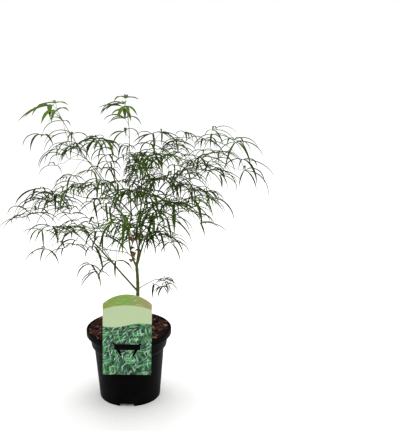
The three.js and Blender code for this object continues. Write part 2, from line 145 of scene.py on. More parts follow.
def arch(
    start: Point, heading: float, rise: tuple[float, float], length: float, steps: int, turn: float = 0.0
) -> Points:
    """Points along a limb that sets off from a point and changes its course evenly along its length.

    Args:
        start: Where it starts.
        heading: Its first heading, in degrees.
        rise: Its first and last rise above the horizon, in degrees.
        length: Its length.
        steps: How many straight steps it is made of.
        turn: How far its heading turns in all, in degrees.

    Returns:
        One more point than steps.
    """
    points = [np.array(start, float)]
    for i in range(steps):
        share = (i + 0.5) / steps
        step = direction(heading + turn * share, mix(rise[0], rise[1], share))
        points.append(points[-1] + step * length / steps)
    return np.array(points)


def along(points: Points, share: float) -> tuple[Point, Point]:
    """The point a share of the way along evenly spaced points, and the direction there.

    Args:
        points: The points.
        share: How far along, from 0 to 1.

    Returns:
        The point, and a direction that is one long.
    """
    last = len(points) - 2
    place = min(share * (last + 1), last + 1)
    i = min(math.floor(place), last)
    step = points[i + 1] - points[i]
    return points[i] + step * (place - i), unit(step)


def smoothed(points: Points, steps: int) -> Points:
    """Points on a smooth curve through a row of points.

    Args:
        points: The points that the curve passes through.
        steps: How many steps the curve has in all.

    Returns:
        One more point than steps, evenly shared among the spans.
    """
    ends = np.vstack([2 * points[0] - points[1], points, 2 * points[-1] - points[-2]])
    spans = len(points) - 1
    place = np.linspace(0, spans, steps + 1)
    i = np.minimum(place.astype(int), spans - 1)
    t = (place - i)[:, None]
    before, first, second, after = (ends[i + k] for k in range(4))
    bend = (2 * before - 5 * first + 4 * second - after) * t**2
    twist = (3 * first - before - 3 * second + after) * t**3
    return 0.5 * (2 * first + (second - before) * t + bend + twist)


# ---- How the plant grows ----


@dataclass(frozen=True)
class BoughPlan:
    """A bough as it leaves another limb, sets off at some rise in degrees, and ends at a point."""

    parent: str
    at: float
    rise: float
    end: tuple[float, float, float]
    radius: float


class Fullness(Enum):
    """How many finer leaves a mass bears between its twigs: none at 0, at every node at 2."""

    SPARSE = 0.1
    LOOSE = 0.35
    MEDIUM = 0.6
    FULL = 1.2


@dataclass(frozen=True)
class MassPlan:
    """A mass of foliage: its stem grows on from the bough of its name, and pairs of twigs part from it."""

    end: tuple[float, float, float]
    pairs: int
    lobe: float
    fullness: Fullness


@dataclass(frozen=True)
class TrunkPlan:
    """The trunk from the compost to the fork where three stems part."""

    foot: tuple[float, float] = (13.0, 0.0)
    heading: float = 0.0
    rise: tuple[float, float] = (80.5, 94.0)
    length: float = 158.0
    buried: float = 4.0
    radius: tuple[float, float] = (4.5, 3.3)
    flare: float = 2.8
    flare_share: float = 0.14
    steps: int = 10


@dataclass(frozen=True)
class TwigPlan:
    """How a mass's twigs part from its stem, in pairs that are each a quarter turn on."""

    stem_radius: tuple[float, float] = (0.9, 0.6)
    radius: tuple[float, float] = (0.6, 0.5)
    length: float = 46.0
    longest: float = 0.7
    splay: float = 54.0
    sag: float = 30.0
    first: float = 0.2
    last: float = 0.9
    sway_roll: float = 25.0
    sway_splay: float = 10.0
    sway_length: float = 0.25


@dataclass(frozen=True)
class LeafPlan:
    """A leaf: a stalk that opens into a fan of narrow lobes that arch over."""

    stalk: float = 20.0
    stalk_radius: float = 0.55
    rise_on_twig: float = 30.0
    rise_on_stem: float = 8.0
    steepest: float = 48.0
    sunk: float = 1.2
    spread: float = 62.0
    sway_heading: float = 12.0
    sway_tip_heading: float = 15.0
    sway_lobe: float = 0.15
    lobes: tuple[float, ...] = (-100.0, -50.0, 0.0, 50.0, 100.0)
    shares: tuple[float, ...] = (0.6, 0.88, 1.0, 0.88, 0.6)
    width: float = 4.6
    rise: tuple[float, float] = (16.0, -74.0)
    cuts: tuple[float, ...] = (1.0, 0.8, 0.6)
    fewest: int = 3
    steps: int = 6


TRUNK = TrunkPlan()
TWIG = TwigPlan()
LEAF = LeafPlan()
BOUGH_TAPER = 0.75
BOUGH_STEPS = 5

BOUGHS = {
    "bough_low_left": BoughPlan("trunk", 0.62, 52, (-76, -8, 372), 2.1),
    "bough_hanging": BoughPlan("bough_low_left", 0.6, 34, (-92, -36, 382), 1),
    "bough_low_back": BoughPlan("bough_low_left", 0.45, 40, (-66, 40, 356), 1),
    "bough_low_right": BoughPlan("trunk", 0.65, 38, (60, -4, 275), 1),
    "stem_left": BoughPlan("trunk", 0.965, 66, (12, 0, 427), 2.1),
    "stem_middle": BoughPlan("trunk", 1, 80, (30, 0, 426), 2.4),
    "stem_right": BoughPlan("trunk", 0.975, 76, (57, -6, 413), 2),
    "bough_inner_left": BoughPlan("stem_left", 0.2, 50, (-16, -28, 352), 1),
    "bough_upper_left": BoughPlan("stem_left", 1, 46, (-40, 6, 489), 1.6),
    "bough_left_front": BoughPlan("bough_upper_left", 0.45, 34, (-58, -34, 474), 1),
    "bough_left_back": BoughPlan("bough_upper_left", 0.8, 44, (-66, 48, 520), 1),
    "bough_leader": BoughPlan("stem_left", 0.97, 80, (8, 14, 488), 1.5),
    "bough_top_left": BoughPlan("bough_leader", 0.55, 60, (-16, -10, 504), 1),
    "bough_top_middle": BoughPlan("stem_middle", 1, 84, (44, -8, 494), 1.6),
    "bough_top_right": BoughPlan("bough_top_middle", 0.75, 58, (80, 28, 530), 1),
    "bough_right": BoughPlan("stem_middle", 0.96, 38, (95, -4, 470), 1.6),
    "bough_right_front": BoughPlan("bough_right", 0.5, 26, (96, -46, 468), 1),
    "bough_right_back": BoughPlan("bough_right", 0.8, 40, (120, 46, 504), 1),
    "bough_right_low": BoughPlan("stem_right", 1, 40, (92, -2, 434), 1.3),
    "bough_front": BoughPlan("stem_right", 0.72, 54, (58, -58, 438), 1.1),
    "bough_front_left": BoughPlan("stem_left", 0.7, 48, (-26, -58, 440), 1.1),
    "bough_back": BoughPlan("stem_middle", 0.8, 50, (34, 64, 456), 1.1),
    "bough_back_left": BoughPlan("stem_left", 0.62, 46, (-28, 60, 436), 1.1),
    "bough_back_right": BoughPlan("stem_right", 0.8, 46, (90, 56, 436), 1.1),
}

MASSES = {
    "low_left": MassPlan((-176, -10, 472), 6, 66, Fullness.FULL),
    "hanging": MassPlan((-148, -50, 416), 3, 54, Fullness.SPARSE),
    "low_back": MassPlan((-112, 70, 372), 3, 58, Fullness.SPARSE),
    "low_right": MassPlan((72, -6, 274), 1, 34, Fullness.LOOSE),
    "inner_left": MassPlan((-64, -48, 368), 4, 56, Fullness.SPARSE),
    "upper_left": MassPlan((-139, 14, 652), 5, 68, Fullness.SPARSE),
    "left_front": MassPlan((-112, -70, 496), 5, 60, Fullness.SPARSE),
    "left_back": MassPlan((-124, 92, 548), 4, 62, Fullness.SPARSE),
    "leader": MassPlan((14, 22, 646), 5, 68, Fullness.FULL),
    "top_left": MassPlan((-48, -26, 588), 5, 60, Fullness.FULL),
    "top_middle": MassPlan((64, -24, 596), 5, 60, Fullness.FULL),
    "top_right": MassPlan((124, 56, 552), 3, 62, Fullness.FULL),
    "right": MassPlan((228, -8, 572), 5, 70, Fullness.LOOSE),
    "right_front": MassPlan((146, -86, 486), 3, 60, Fullness.SPARSE),
    "right_back": MassPlan((176, 86, 532), 4, 64, Fullness.MEDIUM),
    "right_low": MassPlan((136, -2, 462), 3, 56, Fullness.MEDIUM),
    "front": MassPlan((80, -110, 454), 3, 58, Fullness.MEDIUM),
    "front_left": MassPlan((-50, -120, 478), 5, 60, Fullness.SPARSE),
    "back": MassPlan((42, 132, 500), 5, 64, Fullness.LOOSE),
    "back_left": MassPlan((-60, 118, 482), 4, 64, Fullness.SPARSE),
    "back_right": MassPlan((130, 110, 474), 5, 62, Fullness.LOOSE),
}
FIRST_SEED = 1  # of the first mass; each mass takes the next number


@dataclass(frozen=True)
class Limb:
    """The trunk or a bough: the points on its axis, and how thick it is along them."""

    points: Points
    radius: tuple[float, float]
    flare: float = 0.0
    flare_share: float = 1.0

    def radius_at(self, share: float) -> float:
        """The radius a share of the way along."""
        foot = max(0.0, 1 - share / self.flare_share)
        return mix(self.radius[0], self.radius[1], share) + self.flare * foot * foot

    def span_radii(self) -> list[float]:
        """The radius at the start of each span between its points."""
        spans = len(self.points) - 1
        return [self.radius_at(k / spans) for k in range(spans)]


def course_to(
    end: Sequence[float], start: Point, heading: float | None, rise: float, steps: int = BOUGH_STEPS
) -> Points:
    """The points along a limb that bends evenly from a start to an end.

    Args:
        end: Where it ends.
        start: Where it starts.
        heading: The heading that it sets off along, or None for straight towards the end.
        rise: The rise that it sets off at.
        steps: How many straight steps it is made of.

    Returns:
        The points.
    """
    chord = np.array(end, float) - start
    way_heading, way_rise = bearing(chord)
    first = way_heading if heading is None else heading
    turn = 2 * ((way_heading - first + 180) % 360 - 180)
    half_bend = max(math.acos(min(1.0, float(unit(chord) @ direction(first, rise)))), 1e-3)
    length = float(np.linalg.norm(chord)) * half_bend / math.sin(half_bend)
    return arch(start, first, (rise, 2 * way_rise - rise), length, steps, turn)


def grow_limbs(ground: float) -> dict[str, Limb]:
    """The trunk and every bough, each of which starts on the axis of the limb that bears it.

    Args:
        ground: The height of the compost at the trunk.

    Returns:
        The limbs by name, in the order they grow.
    """
    foot = np.array([*TRUNK.foot, ground]) - direction(TRUNK.heading, TRUNK.rise[0]) * TRUNK.buried
    course = arch(foot, TRUNK.heading, TRUNK.rise, TRUNK.length + TRUNK.buried, TRUNK.steps)
    limbs = {"trunk": Limb(course, TRUNK.radius, TRUNK.flare, TRUNK.flare_share)}
    for name, plan in BOUGHS.items():
        start = along(limbs[plan.parent].points, plan.at)[0]
        course = course_to(plan.end, start, None, plan.rise)
        limbs[name] = Limb(course, (plan.radius, plan.radius * BOUGH_TAPER))
    return limbs


def grow_stem(plan: MassPlan, bough: Limb) -> Points:
    """The stem of a mass, from a gap beyond its bough's tip.

    Args:
        plan: The mass's own numbers.
        bough: The bough that bears it.

    Returns:
        The points along the stem.
    """
    point, step = along(bough.points, 1)
    heading, rise = bearing(step)
    return course_to(plan.end, point + step * CLEARANCE, heading, rise)


def spans_between(points: Points, starts: Points, ends: Points) -> np.ndarray:
    """The distance from each point to each of some straight spans, one row for each point.

    Args:
        points: The points.
        starts: Where the spans start.
        ends: Where they end.

    Returns:
        The distances.
    """
    run = ends - starts
    offset = points[:, None, :] - starts[None]
    share = np.clip((offset * run[None]).sum(2) / (run * run).sum(1), 0, 1)
    return np.linalg.norm(offset - share[..., None] * run[None], axis=2)


def span_gaps(points: Points, starts: Points, ends: Points) -> np.ndarray:
    """The least distance from each span of a path to each of some other spans.

    Args:
        points: The path.
        starts: Where the other spans start.
        ends: Where the other spans end.

    Returns:
        One row for each span of the path.
    """
    own, other = (points[1:] - points[:-1])[:, None], (ends - starts)[None]
    between = points[:-1][:, None] - starts[None]
    a, e = (own * own).sum(2), (other * other).sum(2)
    b, c, f = (own * other).sum(2), (own * between).sum(2), (other * between).sum(2)
    spread = a * e - b * b
    share = np.where(spread > 1e-9, np.clip((b * f - c * e) / np.maximum(spread, 1e-9), 0, 1), 0)
    reach = (b * share + f) / e
    share = np.where(reach < 0, np.clip(-c / a, 0, 1), share)
    share = np.where(reach > 1, np.clip((b - c) / a, 0, 1), share)
    reach = np.clip(reach, 0, 1)
    return np.linalg.norm(between + share[..., None] * own - reach[..., None] * other, axis=2)


class Space:
    """The space that a mass may grow in: all that is nearer to its own stem than to any other mass's."""

    def __init__(self, stem: Points, rivals: Sequence[Points], limbs: Sequence[Limb]) -> None:
        """Gathers the spans of the rival stems and of the limbs.

        Args:
            stem: The mass's own stem.
            rivals: The other masses' stems.
            limbs: The trunk and boughs.
        """
        self.stem = stem
        self.rival_starts = np.vstack([rival[:-1] for rival in rivals])
        self.rival_ends = np.vstack([rival[1:] for rival in rivals])
        self.limb_starts = np.vstack([limb.points[:-1] for limb in limbs])
        self.limb_ends = np.vstack([limb.points[1:] for limb in limbs])
        self.limb_radii = np.concatenate([limb.span_radii() for limb in limbs])

    def holds(self, points: Points, room: float) -> bool:
        """Whether a row of points with some room round it stays in the space and clear of all limbs.

        Args:
            points: The points.
            room: How much room is left round them.

        Returns:
            Whether they fit.
        """
        fine = np.empty((2 * len(points) - 1, 3))
        fine[::2] = points
        fine[1::2] = (points[1:] + points[:-1]) / 2
        own = spans_between(fine, self.stem[:-1], self.stem[1:]).min(1)
        rival = spans_between(fine, self.rival_starts, self.rival_ends).min(1)
        return bool((rival - own > 2 * room + CLEARANCE).all()) and self.is_clear(points, room)

    def is_clear(self, points: Points, room: float) -> bool:
        """Whether a row of points with some room round it keeps clear of all limbs."""
        gaps = span_gaps(points, self.limb_starts, self.limb_ends) - self.limb_radii
        return bool(gaps.min() > room + CLEARANCE)


@dataclass
class Twig:
    """A twig: the points on its axis, its first heading and its last rise."""

    points: Points
    heading: float
    tip_rise: float


@dataclass
class Blade:
    """A lobe of a leaf: its length and the points along it."""

    length: float
    points: Points


@dataclass
class Leaf:
    """A leaf: its stalk's root, the hub where its lobes meet, its lobes, and how young it is."""

    root: Point
    hub: Point
    heading: float
    blades: list[Blade]
    youth: float


@dataclass(frozen=True)
class Limits:
    """What a leaf keeps to: the room round it, and how far it may pass the box of its mass's solid.

    Leaves on the limbs themselves may pass anywhere between them.
    """

    room: float
    over: float
    on_limb: bool = False


@dataclass(frozen=True)
class FinerPlan:
    """What grows between the twigs and leaves of the solids, and how far chance may change a lobe."""

    mate: float = 96.0  # heading of the second leaf at a twig's tip, from the first
    mate_lift: float = 12.0
    node_at: tuple[float, float] = (0.58, 0.3)
    node_turn: float = 74.0
    node_share: float = 0.95
    node_lift: float = 14.0
    stem_turn: float = 90.0
    stem_rise: float = 38.0
    sway_stem_turn: float = 36.0
    stalk: float = 15.0
    young_from: float = 595.0  # leaves get young and sparse from this height up
    young_over: float = 50.0
    young_sparse: float = 0.8  # how many fewer finer leaves the youngest wood bears
    sway_turn: float = 9.0
    sway_rise: float = 18.0
    sway_hang: float = 26.0
    curl: float = 22.0
    lifted: float = 34.0  # how much less the lobes of the youngest leaves hang
    longer: float = 0.75
    narrowed: float = 0.45  # how much less the lobes of the youngest leaves spread


@dataclass(frozen=True)
class ShootPlan:
    """The short shoots that clothe the stems and boughs inside the crown, in pairs along them."""

    first: float = 0.18
    last: float = 0.85
    sway_spot: float = 0.35
    length: tuple[float, float] = (9.0, 28.0)
    splay: float = 60.0
    sag: float = 26.0
    sway_roll: float = 35.0
    sway_splay: float = 14.0
    fork: float = 46.0  # heading of the two leaves at its tip, from its own
    share: float = 0.95
    lowest: float = 345.0  # height below which the stems are bare


class Draw(IntEnum):
    """Where each use begins in a mass's own row of chances. The twigs of its solid take the first ones."""

    TIP_TURN = 200
    TIP_LEAF = 210
    MATE = 380
    MATE_SIDE = 400
    MATE_TURN = 420
    MATE_LEAF = 440
    NODE = 460
    BETWEEN = 600
    TINT = 800
    WIDTH = 900
    SHOOT = 2000
    LOBE = 3000


PER_TWIG = 10  # chances that each twig takes
PER_LEAF = 40  # chances between a finer leaf's place and its shape
PER_LEVEL = 1000  # chances between one node of a twig and the next
SHOOT_SPREAD = 97  # what keeps the shoots of two limbs apart in a mass's row of chances

FINER = FinerPlan()
SHOOT = ShootPlan()
AS_SOLID = Limits(LEAF.width / 2, 8.0)
FINE = Limits(1.2, 8.0)
ON_LIMB = Limits(0.8, 0.0, on_limb=True)

SHOOT_PAIRS = {
    "stem_middle": 3,
    "stem_right": 2,
    "bough_right": 2,
    "bough_top_right": 2,
    "stem_left": 1,
    "bough_leader": 1,
    "bough_top_left": 1,
    "bough_top_middle": 1,
    "bough_right_back": 1,
}


class Mass:
    """One mass of foliage: its stem, its twigs and its leaves."""

    def __init__(self, name: str, plan: MassPlan, seed: int, stem: Points, space: Space) -> None:
        """Grows the mass.

        Args:
            name: The mass's name, without its kind.
            plan: Its sizes.
            seed: What its chances depend on.
            stem: The points along its stem.
            space: The space that it keeps to.
        """
        self.name = name
        self.plan = plan
        self.seed = seed
        self.fullness = plan.fullness.value
        self.stem = stem
        self.space = space
        self.twigs: list[Twig] = []
        self.leaves: list[Leaf] = []
        low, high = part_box(f"foliage_{name}")
        self.low = np.array(low) / MM
        self.high = np.array(high) / MM
        self.grow()
        self.grow_finer()

    def holds(self, points: Points, room: float, limits: Limits) -> bool:
        """Whether a row of points with some room round it fits the limits.

        Args:
            points: The points.
            room: How much room is left round them.
            limits: The limits that they have to keep.

        Returns:
            Whether they fit.
        """
        if limits.on_limb:
            return self.space.is_clear(points, room)
        if (points < self.low - limits.over).any() or (points > self.high + limits.over).any():
            return False
        return self.space.holds(points, room)

    def youth_at(self, height: float) -> float:
        """How young the leaves are at a height, from 0 to 1."""
        return min(max((height - FINER.young_from) / FINER.young_over, 0.0), 1.0)

    def bears(self, point: Point, count: int, fullness: float) -> bool:
        """Whether the mass bears a finer leaf at a point. It has fewer of them where it is young."""
        return chance(self.seed, count) < fullness * (1 - FINER.young_sparse * self.youth_at(point[2]))

    def grow_leaf(
        self,
        start: Point,
        heading: float,
        rise: float,
        count: int,
        share: float = 1.0,
        stalk: float = LEAF.stalk,
        limits: Limits = AS_SOLID,
    ) -> bool:
        """Grows a leaf from a point, without the lobes that don't fit.

        Args:
            start: Where its stalk leaves the wood.
            heading: The heading of its stalk and middle lobe.
            rise: The rise of its stalk.
            count: Which of the mass's chances it takes.
            share: How long its lobes are, against the mass's own.
            stalk: The length of its stalk.
            limits: What it keeps to.

        Returns:
            Whether enough of it fits for it to be there.
        """
        seed = self.seed
        lobe = self.plan.lobe * share * (1 + LEAF.sway_lobe * sway(seed, count))
        step = direction(heading, rise)
        hub = start + step * stalk
        if not self.holds(np.array([start, hub]), LEAF.stalk_radius, limits):
            return False
        youth = self.youth_at(hub[2])
        young = chance(seed, count + 0.5) < youth
        blades = []
        for k, (turn, part) in enumerate(zip(LEAF.lobes, LEAF.shares)):
            if young and k in (0, len(LEAF.lobes) - 1):
                continue
            draw = Draw.LOBE + PER_LEAF * count + len(LEAF.lobes) * k
            turn = turn * (1 - FINER.narrowed * youth) + FINER.sway_turn * sway(seed, draw)
            first = LEAF.rise[0] + FINER.sway_rise * sway(seed, draw + 1)
            last = LEAF.rise[1] + FINER.sway_hang * sway(seed, draw + 2) + FINER.lifted * youth
            curl = FINER.curl * sway(seed, draw + 3)
            longest = 1 + FINER.longer * chance(seed, draw + 4)
            for cut in (longest, *LEAF.cuts):
                length = lobe * part * cut
                path = arch(hub, heading + turn, (first, last), length, LEAF.steps, curl)
                if self.holds(path, limits.room, limits):
                    blades.append(Blade(length, path))
                    break
        if len(blades) < LEAF.fewest:
            return False
        self.leaves.append(Leaf(start - step * LEAF.sunk, hub, heading, blades, youth))
        return True

    def grow(self) -> None:
        """Grows the twigs and leaves that the mass's solid has."""
        seed = self.seed
        stem_length = BOUGH_STEPS * float(np.linalg.norm(self.stem[1] - self.stem[0]))
        usual = min(TWIG.length, TWIG.longest * stem_length)
        for i in range(2 * self.plan.pairs):
            pair = i // 2
            point, step = along(self.stem, self.spot_of(pair))
            draw = PER_TWIG * i
            roll = 90 * pair + 180 * (i % 2) + TWIG.sway_roll * sway(seed, draw + 1)
            splay = TWIG.splay + TWIG.sway_splay * sway(seed, draw + 2)
            heading, rise = bearing(parting(step, roll, splay))
            reach = usual * (1 + TWIG.sway_length * sway(seed, draw + 3))
            tip_rise = rise - TWIG.sag
            points = arch(point, heading, (rise, tip_rise), reach, 2)
            if not self.space.holds(points, TWIG.radius[0]):
                continue
            leaf_heading = heading + LEAF.sway_heading * sway(seed, draw + 4)
            if self.grow_leaf(points[-1], leaf_heading, tip_rise + LEAF.rise_on_twig, draw + 5):
                self.twigs.append(Twig(points, heading, tip_rise))
        point, step = along(self.stem, 1)
        heading, rise = bearing(step)
        leaf_rise = min(rise + LEAF.rise_on_stem, LEAF.steepest)
        for half in (-1, 1):
            turn = half * (LEAF.spread + LEAF.sway_tip_heading * sway(seed, Draw.TIP_TURN + half))
            self.grow_leaf(point, heading + turn, leaf_rise, Draw.TIP_LEAF + half)

    def spot_of(self, pair: float) -> float:
        """The share of the stem at which a pair of twigs parts from it."""
        last = self.plan.pairs - 1
        return mix(TWIG.first, TWIG.last, pair / last if last else 0.5)

    def grow_finer(self) -> None:
        """Grows the leaves between those that the mass's solid has."""
        for i, twig in enumerate(self.twigs):
            self.grow_mate(twig, i)
            for level in (0, 1):
                self.grow_pair(twig, i, level)
        for pair in range(self.plan.pairs - 1):
            self.grow_between(pair)

    def grow_mate(self, twig: Twig, i: int) -> None:
        """Grows the second leaf at a twig's tip.

        Args:
            twig: The twig.
            i: Its number in the mass.
        """
        seed, tip = self.seed, twig.points[-1]
        if not self.bears(tip, Draw.MATE + i, self.fullness):
            return
        side = 1 if chance(seed, Draw.MATE_SIDE + i) > 0.5 else -1
        turn = side * FINER.mate + LEAF.sway_tip_heading * sway(seed, Draw.MATE_TURN + i)
        rise = min(twig.tip_rise + LEAF.rise_on_twig + FINER.mate_lift, LEAF.steepest)
        self.grow_leaf(tip, twig.heading + turn, rise, Draw.MATE_LEAF + i, 1.0, FINER.stalk, FINE)

    def grow_pair(self, twig: Twig, i: int, level: int) -> None:
        """Grows the two leaves at a node of a twig. Only the fullest masses bear those at the second.

        Args:
            twig: The twig.
            i: Its number in the mass.
            level: Which of its nodes, 0 for the first.
        """
        seed = self.seed
        point, step = along(twig.points, FINER.node_at[level])
        heading, rise = bearing(step)
        rise += FINER.node_lift
        for half in (0, 1):
            count = Draw.NODE + 2 * i + half + PER_LEVEL * level
            if self.bears(point, count, self.fullness - level):
                turn = (2 * half - 1) * FINER.node_turn + LEAF.sway_heading * sway(seed, count)
                turn += heading + 90 * level
                self.grow_leaf(point, turn, rise, count + PER_LEAF, FINER.node_share, FINER.stalk, FINE)

    def grow_between(self, pair: int) -> None:
        """Grows the two leaves on the stem between a pair of twigs and the next.

        Args:
            pair: The number of the first of the two pairs.
        """
        seed = self.seed
        point, step = along(self.stem, self.spot_of(pair + 0.5))
        heading = bearing(step)[0]
        for half in (0, 1):
            count = Draw.BETWEEN + 2 * pair + half
            if self.bears(point, count, self.fullness):
                turn = (2 * half - 1) * FINER.stem_turn + FINER.sway_stem_turn * sway(seed, count)
                self.grow_leaf(point, heading + turn, FINER.stem_rise, count + PER_LEAF, limits=FINE)

    def grow_shoot(self, points: Points, heading: float, tip_rise: float, count: int) -> None:
        """Grows a short shoot's two leaves, and the shoot itself if either fits.

        Args:
            points: The points along the shoot.
            heading: Its heading, in degrees.
            tip_rise: Its tip's rise, in degrees.
            count: The first of the numbers that its chances go by.
        """
        seed = self.seed
        rise = min(tip_rise + LEAF.rise_on_twig, LEAF.steepest)
        grown = False
        for half in (0, 1):
            draw = count + half
            turn = heading + (2 * half - 1) * SHOOT.fork + LEAF.sway_tip_heading * sway(seed, draw)
            grown |= self.grow_leaf(points[-1], turn, rise, draw, SHOOT.share, FINER.stalk, ON_LIMB)
        if grown:
            self.twigs.append(Twig(points, heading, tip_rise))


def parting(step: Point, roll: float, splay: float) -> Point:
    """The direction in which a twig parts from a limb that runs along a step.

    Args:
        step: The limb's direction there.
        roll: Where round the limb the twig sits, in degrees.
        splay: The angle between the two, in degrees.

    Returns:
        The twig's first direction.
    """
    spoke = turned_about(unit(np.cross(step, UP)), step, roll)
    lean = math.radians(splay)
    return step * math.cos(lean) + spoke * math.sin(lean)


def grow_shoots(name: str, limb: Limb, pairs: int, masses: Sequence[Mass]) -> None:
    """Grows short shoots in pairs along a limb. Each joins the mass whose stem is nearest to its tip.

    Args:
        name: The limb's name.
        limb: The limb.
        pairs: How many pairs it bears.
        masses: All masses.
    """
    seed = sum(map(ord, name))
    for i in range(2 * pairs):
        pair = i // 2
        draw = PER_TWIG * i
        spot = mix(SHOOT.first, SHOOT.last, (pair + 0.5 + SHOOT.sway_spot * sway(seed, draw)) / pairs)
        point, step = along(limb.points, spot)
        roll = 90 * pair + 180 * (i % 2) + SHOOT.sway_roll * sway(seed, draw + 1)
        splay = SHOOT.splay + SHOOT.sway_splay * sway(seed, draw + 2)
        heading, rise = bearing(parting(step, roll, splay))
        reach = mix(*SHOOT.length, chance(seed, draw + 3))
        points = arch(point, heading, (rise, rise - SHOOT.sag), reach, 2)
        if points[-1][2] < SHOOT.lowest:
            continue
        gaps = [spans_between(points[-1:], mass.stem[:-1], mass.stem[1:]).min() for mass in masses]
        owner = masses[int(np.argmin(gaps))]
        owner.grow_shoot(points, heading, rise - SHOOT.sag, Draw.SHOOT + 4 * i + seed % SHOOT_SPREAD)


# ---- Meshes from arrays ----


class Batch:
    """Corner points and faces that are gathered for one joined mesh."""

    def __init__(self) -> None:
        """Starts empty."""
        self.corners: list[np.ndarray] = []
        self.faces: list[list[int]] = []
        self.slots: list[int] = []
        self.count = 0

    def add(self, corners: np.ndarray, faces: Sequence[Sequence[int]], slots: int | Sequence[int]) -> None:
        """Adds one small closed shape.

        Args:
            corners: Its corner points.
            faces: Its faces, by the numbers of their corners.
            slots: The material of all its faces, or of each.
        """
        self.corners.append(corners)
        self.faces += [[self.count + k for k in face] for face in faces]
        self.slots += [slots] * len(faces) if isinstance(slots, int) else slots
        self.count += len(corners)

    def build(self, name: str, materials: Sequence[bpy.types.Material], crease: float = 40.0) -> Piece:
        """The joined mesh as an object.

        Args:
            name: The object's name.
            materials: Its materials, in the order that the faces count them.
            crease: Faces that meet at more than this angle, in degrees, keep a sharp edge.

        Returns:
            The object, at the origin.
        """
        mesh = bpy.data.meshes.new(name)
        mesh.from_pydata((np.vstack(self.corners) * MM).tolist(), [], self.faces)
        for material in materials:
            mesh.materials.append(material)
        mesh.polygons.foreach_set("material_index", self.slots)
        mesh.update()
        piece = placed(name, mesh)
        smooth(piece, crease)
        return piece


@lru_cache
def tube_faces(rings: int, sides: int) -> list[list[int]]:
    """The faces of a closed tube of so many rings of corners.

    Args:
        rings: How many rings it has.
        sides: How many corners each ring has.

    Returns:
        The faces, each as its corners' numbers.
    """
    faces = [list(range(sides))[::-1], [(rings - 1) * sides + k for k in range(sides)]]
    for i in range(rings - 1):
        for k in range(sides):
            a, b = i * sides + k, i * sides + (k + 1) % sides
            faces.append([a, b, b + sides, a + sides])
    return faces


def tube(points: Points, radii: np.ndarray, sides: int) -> tuple[np.ndarray, list[list[int]]]:
    """A closed tube round a row of points.

    Args:
        points: The points along its axis.
        radii: Its radius at each point.
        sides: How many sides it has.

    Returns:
        Its corner points and its faces.
    """
    ahead = np.gradient(points, axis=0)
    ahead /= np.linalg.norm(ahead, axis=1)[:, None]
    across = np.array([0.31, 0.95, 0.12])
    turns = np.linspace(0, 2 * np.pi, sides, endpoint=False)
    corners = []
    for point, step, radius in zip(points, ahead, radii):
        across = unit(across - step * np.dot(across, step))
        other = np.cross(step, across)
        ring = np.cos(turns)[:, None] * across + np.sin(turns)[:, None] * other
        corners.append(point + ring * radius)
    return np.vstack(corners), tube_faces(len(points), sides)


# ---- Working on a mesh by hand ----


def placed(name: str, data: bpy.types.ID) -> Piece:
    """A new object in the scene, with the mesh, light or camera given.

    Args:
        name: Its name.
        data: What it shows.

    Returns:
        The object.
    """
    made = bpy.data.objects.new(name, data)
    bpy.context.collection.objects.link(made)
    return made


def choose(*pieces: Piece) -> None:
    """Selects only these objects and makes the first one active.

    Args:
        *pieces: The objects.
    """
    for other in bpy.context.view_layer.objects:
        other.select_set(False)
    for piece in pieces:
        piece.select_set(True)
    bpy.context.view_layer.objects.active = pieces[0] if pieces else None


def smooth(piece: Piece, crease: float) -> None:
    """Shades a piece smooth, apart from edges whose faces meet at more than an angle in degrees."""
    choose(piece)
    bpy.ops.object.shade_smooth_by_angle(angle=math.radians(crease))


def named(name: str) -> Piece:
    """The active object, with its place in its mesh and the name given.

    Args:
        name: The name.

    Returns:
        The object.
    """
    piece = bpy.context.object
    bpy.ops.object.transform_apply(location=True, rotation=True, scale=True)
    piece.name = name
    piece.data.name = name
    return piece


def apply_modifier(piece: Piece, kind: str, **settings: object) -> None:
    """Adds a modifier to a piece and applies it.

    Args:
        piece: The object.
        kind: The modifier's type.
        **settings: Its settings.
    """
    choose(piece)
    modifier = piece.modifiers.new(kind.lower(), kind)
    for key, value in settings.items():
        setattr(modifier, key, value)
    bpy.ops.object.modifier_apply(modifier=modifier.name)


def bevel_edges(piece: Piece, width: float, segments: int, crease: float) -> None:
    """Rounds the edges of a piece whose faces meet at more than an angle.

    Args:
        piece: The object.
        width: How wide the rounding is.
        segments: How many faces it is made of.
        crease: The angle, in degrees.
    """
    limit = math.radians(crease)
    apply_modifier(
        piece, "BEVEL", width=width * MM, segments=segments, limit_method="ANGLE", angle_limit=limit
    )


def roughen(piece: Piece, name: str, size: float, depth: float, level: float, **settings: object) -> None:
    """Moves the surface of a piece in and out by small clouds.

    Args:
        piece: The object.
        name: The clouds' name.
        size: How large they are.
        depth: How far they move the surface.
        level: The share of that depth which lies inside the surface.
        **settings: More settings of the modifier.
    """
    clouds = bpy.data.textures.new(name, "CLOUDS")
    clouds.noise_scale = size * MM
    apply_modifier(
        piece,
        "DISPLACE",
        texture=clouds,
        texture_coords="LOCAL",
        strength=depth * MM,
        mid_level=level,
        **settings,
    )


def cut_away(piece: Piece, *cutters: Piece, keep_inside: bool = False) -> None:
    """Cuts a piece with others, which are then removed.

    Args:
        piece: The object that is cut.
        *cutters: The objects that cut it.
        keep_inside: Whether what lies inside the cutter is kept instead of taken away.
    """
    operation = "INTERSECT" if keep_inside else "DIFFERENCE"
    for cutter in cutters:
        apply_modifier(piece, "BOOLEAN", object=cutter, operation=operation, solver="EXACT")
        bpy.data.objects.remove(cutter)


